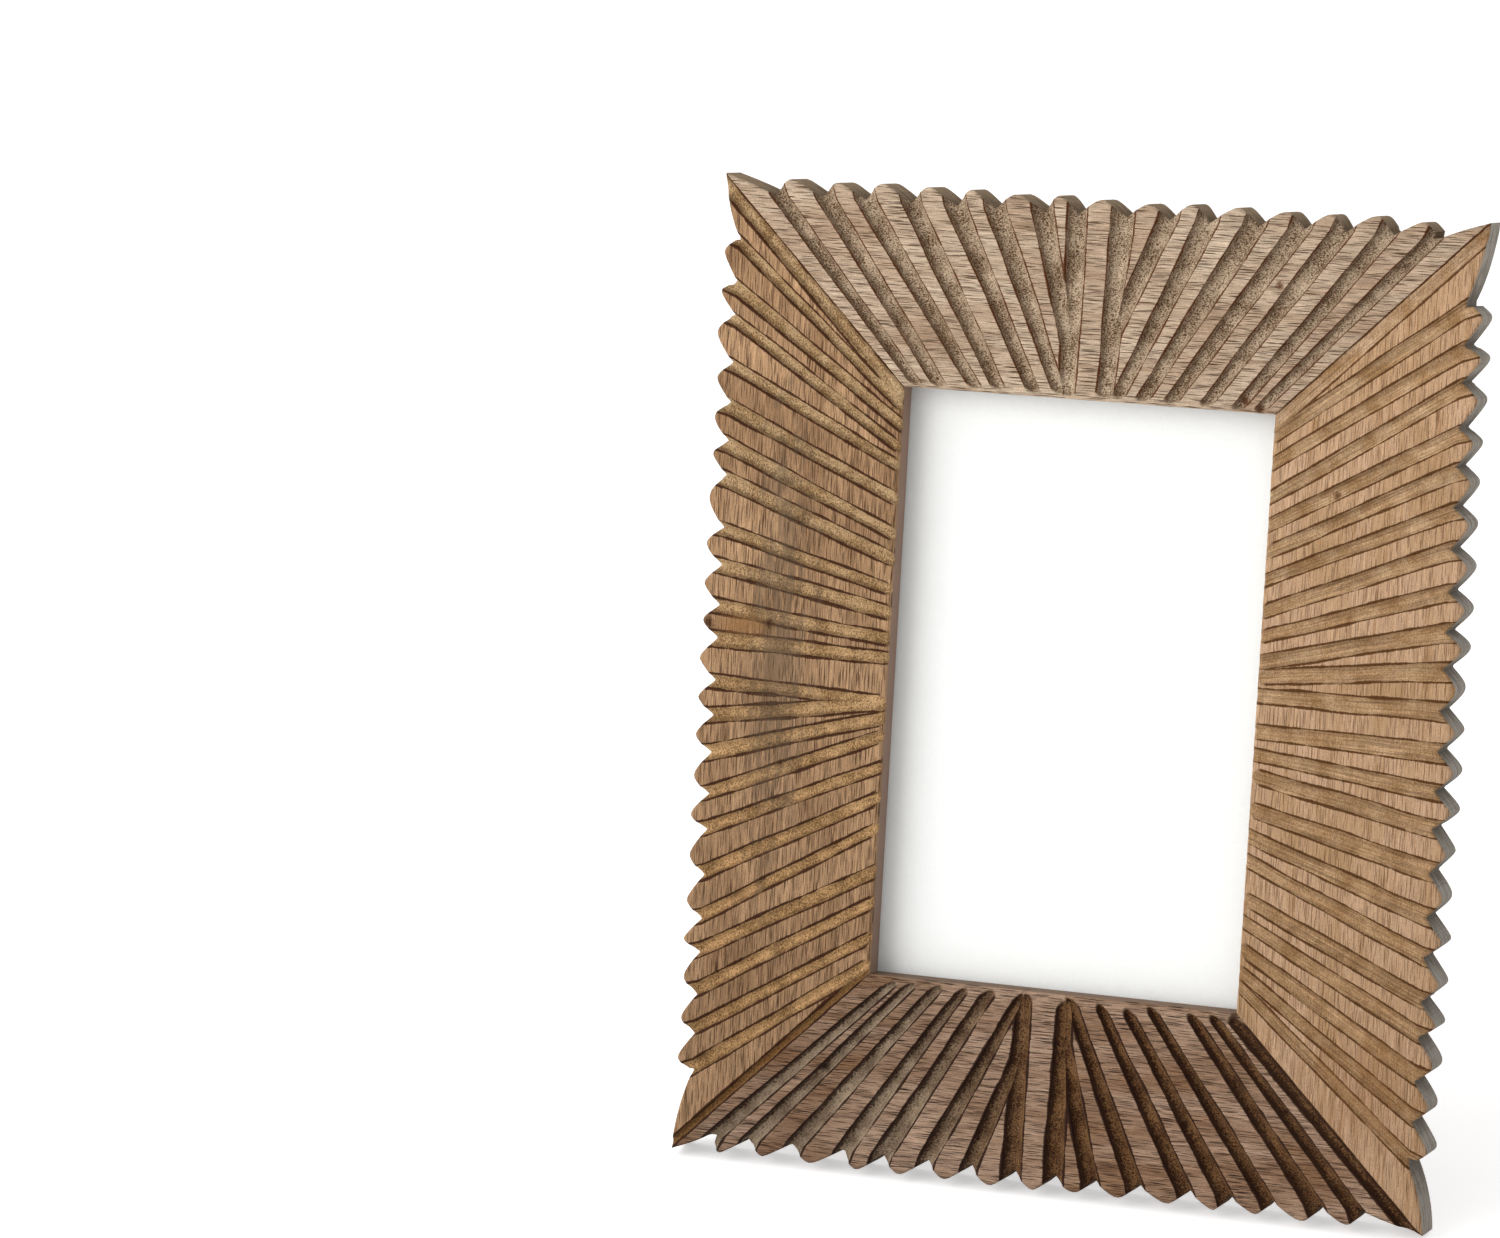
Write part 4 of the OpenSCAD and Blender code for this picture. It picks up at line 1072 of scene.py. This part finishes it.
def whiteCard():
    material, add, shader = newMaterial("whiteCard")
    white, shade = [linearColour(cardLook[key]) for key in ("white", "shade")]
    place = add("ShaderNodeTexCoord").outputs["Object"]
    pulp = add("ShaderNodeTexNoise", {"Vector": place, "Scale": 1 / cardLook["pulp"], "Detail": 3.0})
    mix = add("ShaderNodeMapRange", [pulp, *noiseSpan, 0, 1])
    colour = add("ShaderNodeMix", [mix, white, shade], data_type="RGBA")
    bump = add("ShaderNodeBump", {"Height": pulp, "Distance": cardLook["relief"], "Strength": 0.3})
    connect(shader, {"Base Color": colour, "Roughness": 0.9, "Normal": bump})
    return material


# Float glass: clear and flat, with a few faint dust marks in its gloss
glassLook = {"tint": "#f8fcfa", "dust": 16.7 * mm, "roughness": (0.01, 0.06), "alpha": 0.1}


def floatGlass():
    material, add, shader = newMaterial("floatGlass")
    place = add("ShaderNodeTexCoord").outputs["Object"]
    dust = add("ShaderNodeTexNoise", {"Vector": place, "Scale": 1 / glassLook["dust"], "Detail": 5.0})
    rough = add("ShaderNodeMapRange", [dust, 0.4, 0.75, *glassLook["roughness"]])
    connect(
        shader,
        {"Base Color": linearColour(glassLook["tint"]), "Roughness": rough, "IOR": 1.5,
         "Alpha": glassLook["alpha"]})
    return material


# The pane and the card lie a hair apart in the rebate, with ground and cut edges
sheets = {
    "glass_pane": {
        "bevel": 0.25 * mm, "front": 0.02 * mm, "back": 0.06 * mm, "slot": "glass", "look": floatGlass(),
    },
    "picture_insert": {
        "bevel": 0.04 * mm, "front": 0.03 * mm, "back": 0.03 * mm, "slot": "paper", "look": whiteCard(),
    },
}


# A sheet as large as the node's box in the upright frame, apart from the hair's breadth
def thinSheet(nodeName, sheet):
    upright = standingPlace.inverted()
    corners = [upright @ vertex.co for vertex in nodes[nodeName].data.vertices]
    low = Vector([min(corner[axis] for corner in corners) for axis in range(3)])
    high = Vector([max(corner[axis] for corner in corners) for axis in range(3)])
    low.y += sheet["front"]
    high.y -= sheet["back"]
    work = bmesh.new()
    bmesh.ops.create_cube(work, size=1)
    for vertex in work.verts:
        vertex.co = [low[i] + (vertex.co[i] + 0.5) * (high[i] - low[i]) for i in range(3)]
    bmesh.ops.bevel(
        work, geom=work.edges[:], offset=sheet["bevel"], segments=2, profile=0.5, affect="EDGES")
    mesh = bpy.data.meshes.new(nodeName + "_cut")
    work.to_mesh(mesh)
    work.free()
    mesh.transform(standingPlace)
    mesh.materials.append(sheet["look"])
    addPiece(mesh, nodeName, "frame")


for sheetName, sheet in sheets.items():
    thinSheet(sheetName, sheet)


# Screws and rivets: a low dome on a plain shank that fills its hole, the screws with a slot
headSizes = {
    "Head Radius": 2.5 * mm,
    "Head Height": 0.9 * mm,
    "Rim Height": 0.25 * mm,
    "Shank Radius": 1.3 * mm,
    "Shank Length": 3.8 * mm,
    "Slot Width": 1 * mm,
    "Slot Depth": 0.0,
    "Seed": 6,
}
headRows = {"segments": 40, "dome": 9, "below": 5}  # a turn's segments, and rows from the crown down


# The whole fastener as one grid, wrapped round its axis from the crown to the shank's end
def turnedHead(add, get):
    segments, dome = headRows["segments"], headRows["dome"]
    rows = dome + headRows["below"]
    index = add("GeometryNodeInputIndex")
    grid = add("GeometryNodeMeshGrid", {"Vertices X": segments + 1, "Vertices Y": rows})
    columnRaw = add("ShaderNodeMath", [index, rows], operation="DIVIDE")
    column = add("ShaderNodeMath", [columnRaw], operation="FLOOR")
    row = add("ShaderNodeMath", [index, rows], operation="MODULO")
    turn = add("ShaderNodeMath", [column, 2 * math.pi / segments], operation="MULTIPLY")

    # Over the dome, down the rim, under the head and down the shank to its end
    overDome = add("ShaderNodeMapRange", [row, 0, dome, 0, math.pi / 2])
    domeOut = add("ShaderNodeMath", [overDome], operation="SINE")
    domeUp = add("ShaderNodeMath", [overDome], operation="COSINE")
    radius = add("ShaderNodeMath", [domeOut, get["Head Radius"]], operation="MULTIPLY")
    domeHeight = add("ShaderNodeMath", [get["Head Height"], get["Rim Height"]], operation="SUBTRACT")
    downRim = add("ShaderNodeMapRange", [row, dome, dome + 1, get["Rim Height"], 0])
    height = add("ShaderNodeMath", [domeUp, domeHeight, downRim], operation="MULTIPLY_ADD")
    underHead = add("ShaderNodeMapRange", [row, dome + 1, dome + 2, 0, 1])
    narrowed = add("ShaderNodeMix", [underHead, radius, get["Shank Radius"]])
    downShank = add("ShaderNodeMapRange", [row, dome + 2, dome + 3, 0, 1])
    sunk = add("ShaderNodeMath", [downShank, get["Shank Length"]], operation="MULTIPLY")
    level = add("ShaderNodeMath", [height, sunk], operation="SUBTRACT")
    toCentre = add("ShaderNodeMapRange", [row, dome + 3, dome + 4, 1, 0])
    reach = add("ShaderNodeMath", [narrowed, toCentre], operation="MULTIPLY")
    cosine = add("ShaderNodeMath", [turn], operation="COSINE")
    sine = add("ShaderNodeMath", [turn], operation="SINE")
    across = add("ShaderNodeMath", [reach, cosine], operation="MULTIPLY")
    along = add("ShaderNodeMath", [reach, sine], operation="MULTIPLY")
    place = add("ShaderNodeCombineXYZ", [across, along, level])
    placed = add("GeometryNodeSetPosition", {"Geometry": grid, "Position": place})
    merged = add("GeometryNodeMergeByDistance", {"Geometry": placed, "Distance": 0.002 * mm})
    return add("GeometryNodeFlipFaces", [merged])


# A driver's slot right across the head, where it has a depth
def slottedHead(add, get, plain):
    slotLong = add("ShaderNodeMath", [get["Head Radius"], 3], operation="MULTIPLY")
    slotDeep = add("ShaderNodeMath", [get["Slot Depth"], 2], operation="MULTIPLY")
    slotSize = add("ShaderNodeCombineXYZ", [slotLong, get["Slot Width"], slotDeep])
    slotPlace = add("ShaderNodeCombineXYZ", {"Z": get["Head Height"]})
    blade = add("GeometryNodeMeshCube", {"Size": slotSize})
    bladeUp = add("GeometryNodeTransform", {"Geometry": blade, "Translation": slotPlace})
    slotted = add("GeometryNodeMeshBoolean", [plain, bladeUp], operation="DIFFERENCE")
    hasSlot = add("FunctionNodeCompare", [get["Slot Depth"], 0.0], operation="GREATER_THAN")
    return add(
        "GeometryNodeSwitch", {"Switch": hasSlot, "False": plain, "True": slotted}, input_type="GEOMETRY")


# One fastener on each point, with its axis into the board, stopped at its own turn
def fastenerTree():
    tree, add, get, result = newTree("fastener", {"Places": "G", **headSizes, "Material": "M"}, ["Geometry"])
    head = slottedHead(add, get, turnedHead(add, get))
    index = add("GeometryNodeInputIndex")
    stopped = add("FunctionNodeRandomValue", [0.0, math.pi, index, get["Seed"]])
    facing = add("ShaderNodeCombineXYZ", [-math.pi / 2, stopped, 0])
    scattered = add(
        "GeometryNodeInstanceOnPoints", {"Points": get["Places"], "Instance": head, "Rotation": facing})
    finishTree(add, result, scattered, get["Material"], sharpAngle=30)
    return tree


# The leg's hinge: the pin's place in the upright frame, and how far the leg stands open
hinge = {"pinBack": 14.7 * mm, "pinUp": 40 * mm, "open": math.radians(19)}
hingePin = Vector((0, hinge["pinBack"], hinge["pinUp"]))
legOpen = (
    Matrix.Translation(hingePin)
    @ Matrix.Rotation(hinge["open"], 4, "X")
    @ Matrix.Translation(-hingePin)
)

# Points under each head, in the upright frame. The leg's rivets are given for the folded leg.
fasteners = {
    "turn_button_screws": {
        "body": "frame", "move": Matrix(),
        "points": [(x * mm, 14.3 * mm, z * mm) for x in (-57.5, 57.5) for z in (-47, 47)],
        "sizes": {
            "Head Radius": 3.2 * mm, "Head Height": 1.8 * mm, "Rim Height": 0.5 * mm,
            "Shank Radius": 1.5 * mm, "Shank Length": 9.8 * mm, "Slot Depth": 0.9 * mm,
        },
    },
    "hinge_plate_rivets": {
        "body": "frame", "move": Matrix(), "sizes": {},
        "points": [(x * mm, 13.3 * mm, 53 * mm) for x in (-8.5, 8.5)],
    },
    "hinge_leaf_rivets": {
        "body": "easel", "move": legOpen, "sizes": {},
        "points": [(x * mm, 16.8 * mm, 27 * mm) for x in (-8.5, 8.5)],
    },
}
steel = zincSteel()
headTree = fastenerTree()
for nodeName, fastener in fasteners.items():
    headMesh = meshFromTree(
        nodeName + "_made", headTree, {**headSizes, **fastener["sizes"], "Material": steel},
        fastener["points"])
    headMesh.transform(standingPlace @ fastener["move"])
    addPiece(headMesh, nodeName, fastener["body"])
    print(nodeName, "set,", len(headMesh.polygons), "faces")

# The pieces that keep the shapes of the solids
cadLooks = {
    steel: [
        "corner_v_nails", "hinge_plate", "hinge_leaf", "hinge_pin", "turn_button_upper_left",
        "turn_button_lower_left", "turn_button_upper_right", "turn_button_lower_right",
    ],
    hardboard(): ["backing_board", "easel_leg"],
}
for look, names in cadLooks.items():
    for name in names:
        nodes[name].data.materials.clear()
        nodes[name].data.materials.append(look)
print("back and glazing dressed")

# Camera, as the photograph was taken: from the right and above, with a long lens
cameraSetup = {
    "place": (0.4183, -1.4761, 0.5539),
    "down": math.radians(15.03),
    "left": math.radians(18.97),
    "lens": 151.49,
    "sensor": 36,
}


def photoCamera():
    cameraData = bpy.data.cameras.new("camera")
    cameraData.lens = cameraSetup["lens"]
    cameraData.sensor_width = cameraSetup["sensor"]
    camera = bpy.data.objects.new("camera", cameraData)
    camera.location = cameraSetup["place"]
    camera.rotation_euler = (math.pi / 2 - cameraSetup["down"], 0, cameraSetup["left"])
    bpy.context.scene.collection.objects.link(camera)
    bpy.context.scene.camera = camera
    bpy.context.scene.view_settings.view_transform = "Standard"


# Soft studio light from the left, and a white floor that keeps a faint shadow
studio = {
    "ambient": 0.65,
    "keyPlace": (-1.1, -0.95, 0.5),
    "keyAim": (0, 0, 0.12),
    "keySize": 1.8,
    "keyPower": 28,
    "floorSize": 8,
    "floorGlow": 0.45,
    "floorPaint": "#f4f4f4",
}


def keyLight():
    lamp = bpy.data.lights.new("key", "AREA")
    lamp.energy = studio["keyPower"]
    lamp.size = studio["keySize"]
    lampObject = bpy.data.objects.new("key", lamp)
    lampObject.location = studio["keyPlace"]
    aim = Vector(studio["keyAim"]) - lampObject.location
    lampObject.rotation_euler = aim.to_track_quat("-Z", "Y").to_euler()
    bpy.context.scene.collection.objects.link(lampObject)


# White wherever the camera sees it, straight or by gloss or through glass, and dimmer as a light
def studioWorld():
    world = bpy.data.worlds.new("studio")
    bpy.context.scene.world = world
    world.use_nodes = True
    world.node_tree.nodes.clear()
    add = functools.partial(addNode, world.node_tree)
    rays = add("ShaderNodeLightPath").outputs
    seen = add("ShaderNodeMath", [rays["Is Camera Ray"], rays["Is Glossy Ray"]], operation="MAXIMUM")
    seenAll = add("ShaderNodeMath", [seen, rays["Is Transmission Ray"]], operation="MAXIMUM")
    strength = add("ShaderNodeMapRange", [seenAll, 0, 1, studio["ambient"], 1])
    background = add("ShaderNodeBackground", [(1, 1, 1, 1), strength])
    add("ShaderNodeOutputWorld", [background])


# White paint that glows to the camera, so that it comes out white and its shadow faint
def floorPaint():
    material, add, shader = newMaterial("whitePaintedFloor")
    seen = add("ShaderNodeLightPath").outputs["Is Camera Ray"]
    glow = add("ShaderNodeMath", [seen, studio["floorGlow"]], operation="MULTIPLY")
    connect(
        shader,
        {"Base Color": linearColour(studio["floorPaint"]), "Roughness": 0.9,
         "Emission Color": (1, 1, 1, 1), "Emission Strength": glow})
    return material


def studioFloor():
    half = studio["floorSize"] / 2
    mesh = bpy.data.meshes.new("floor")
    mesh.from_pydata(
        [(-half, -half, 0), (half, -half, 0), (half, half, 0), (-half, half, 0)], [], [(0, 1, 2, 3)])
    mesh.materials.append(floorPaint())
    piece = bpy.data.objects.new("floor", mesh)
    bpy.context.scene.collection.objects.link(piece)
    return piece


photoCamera()
keyLight()
studioWorld()
floor = studioFloor()
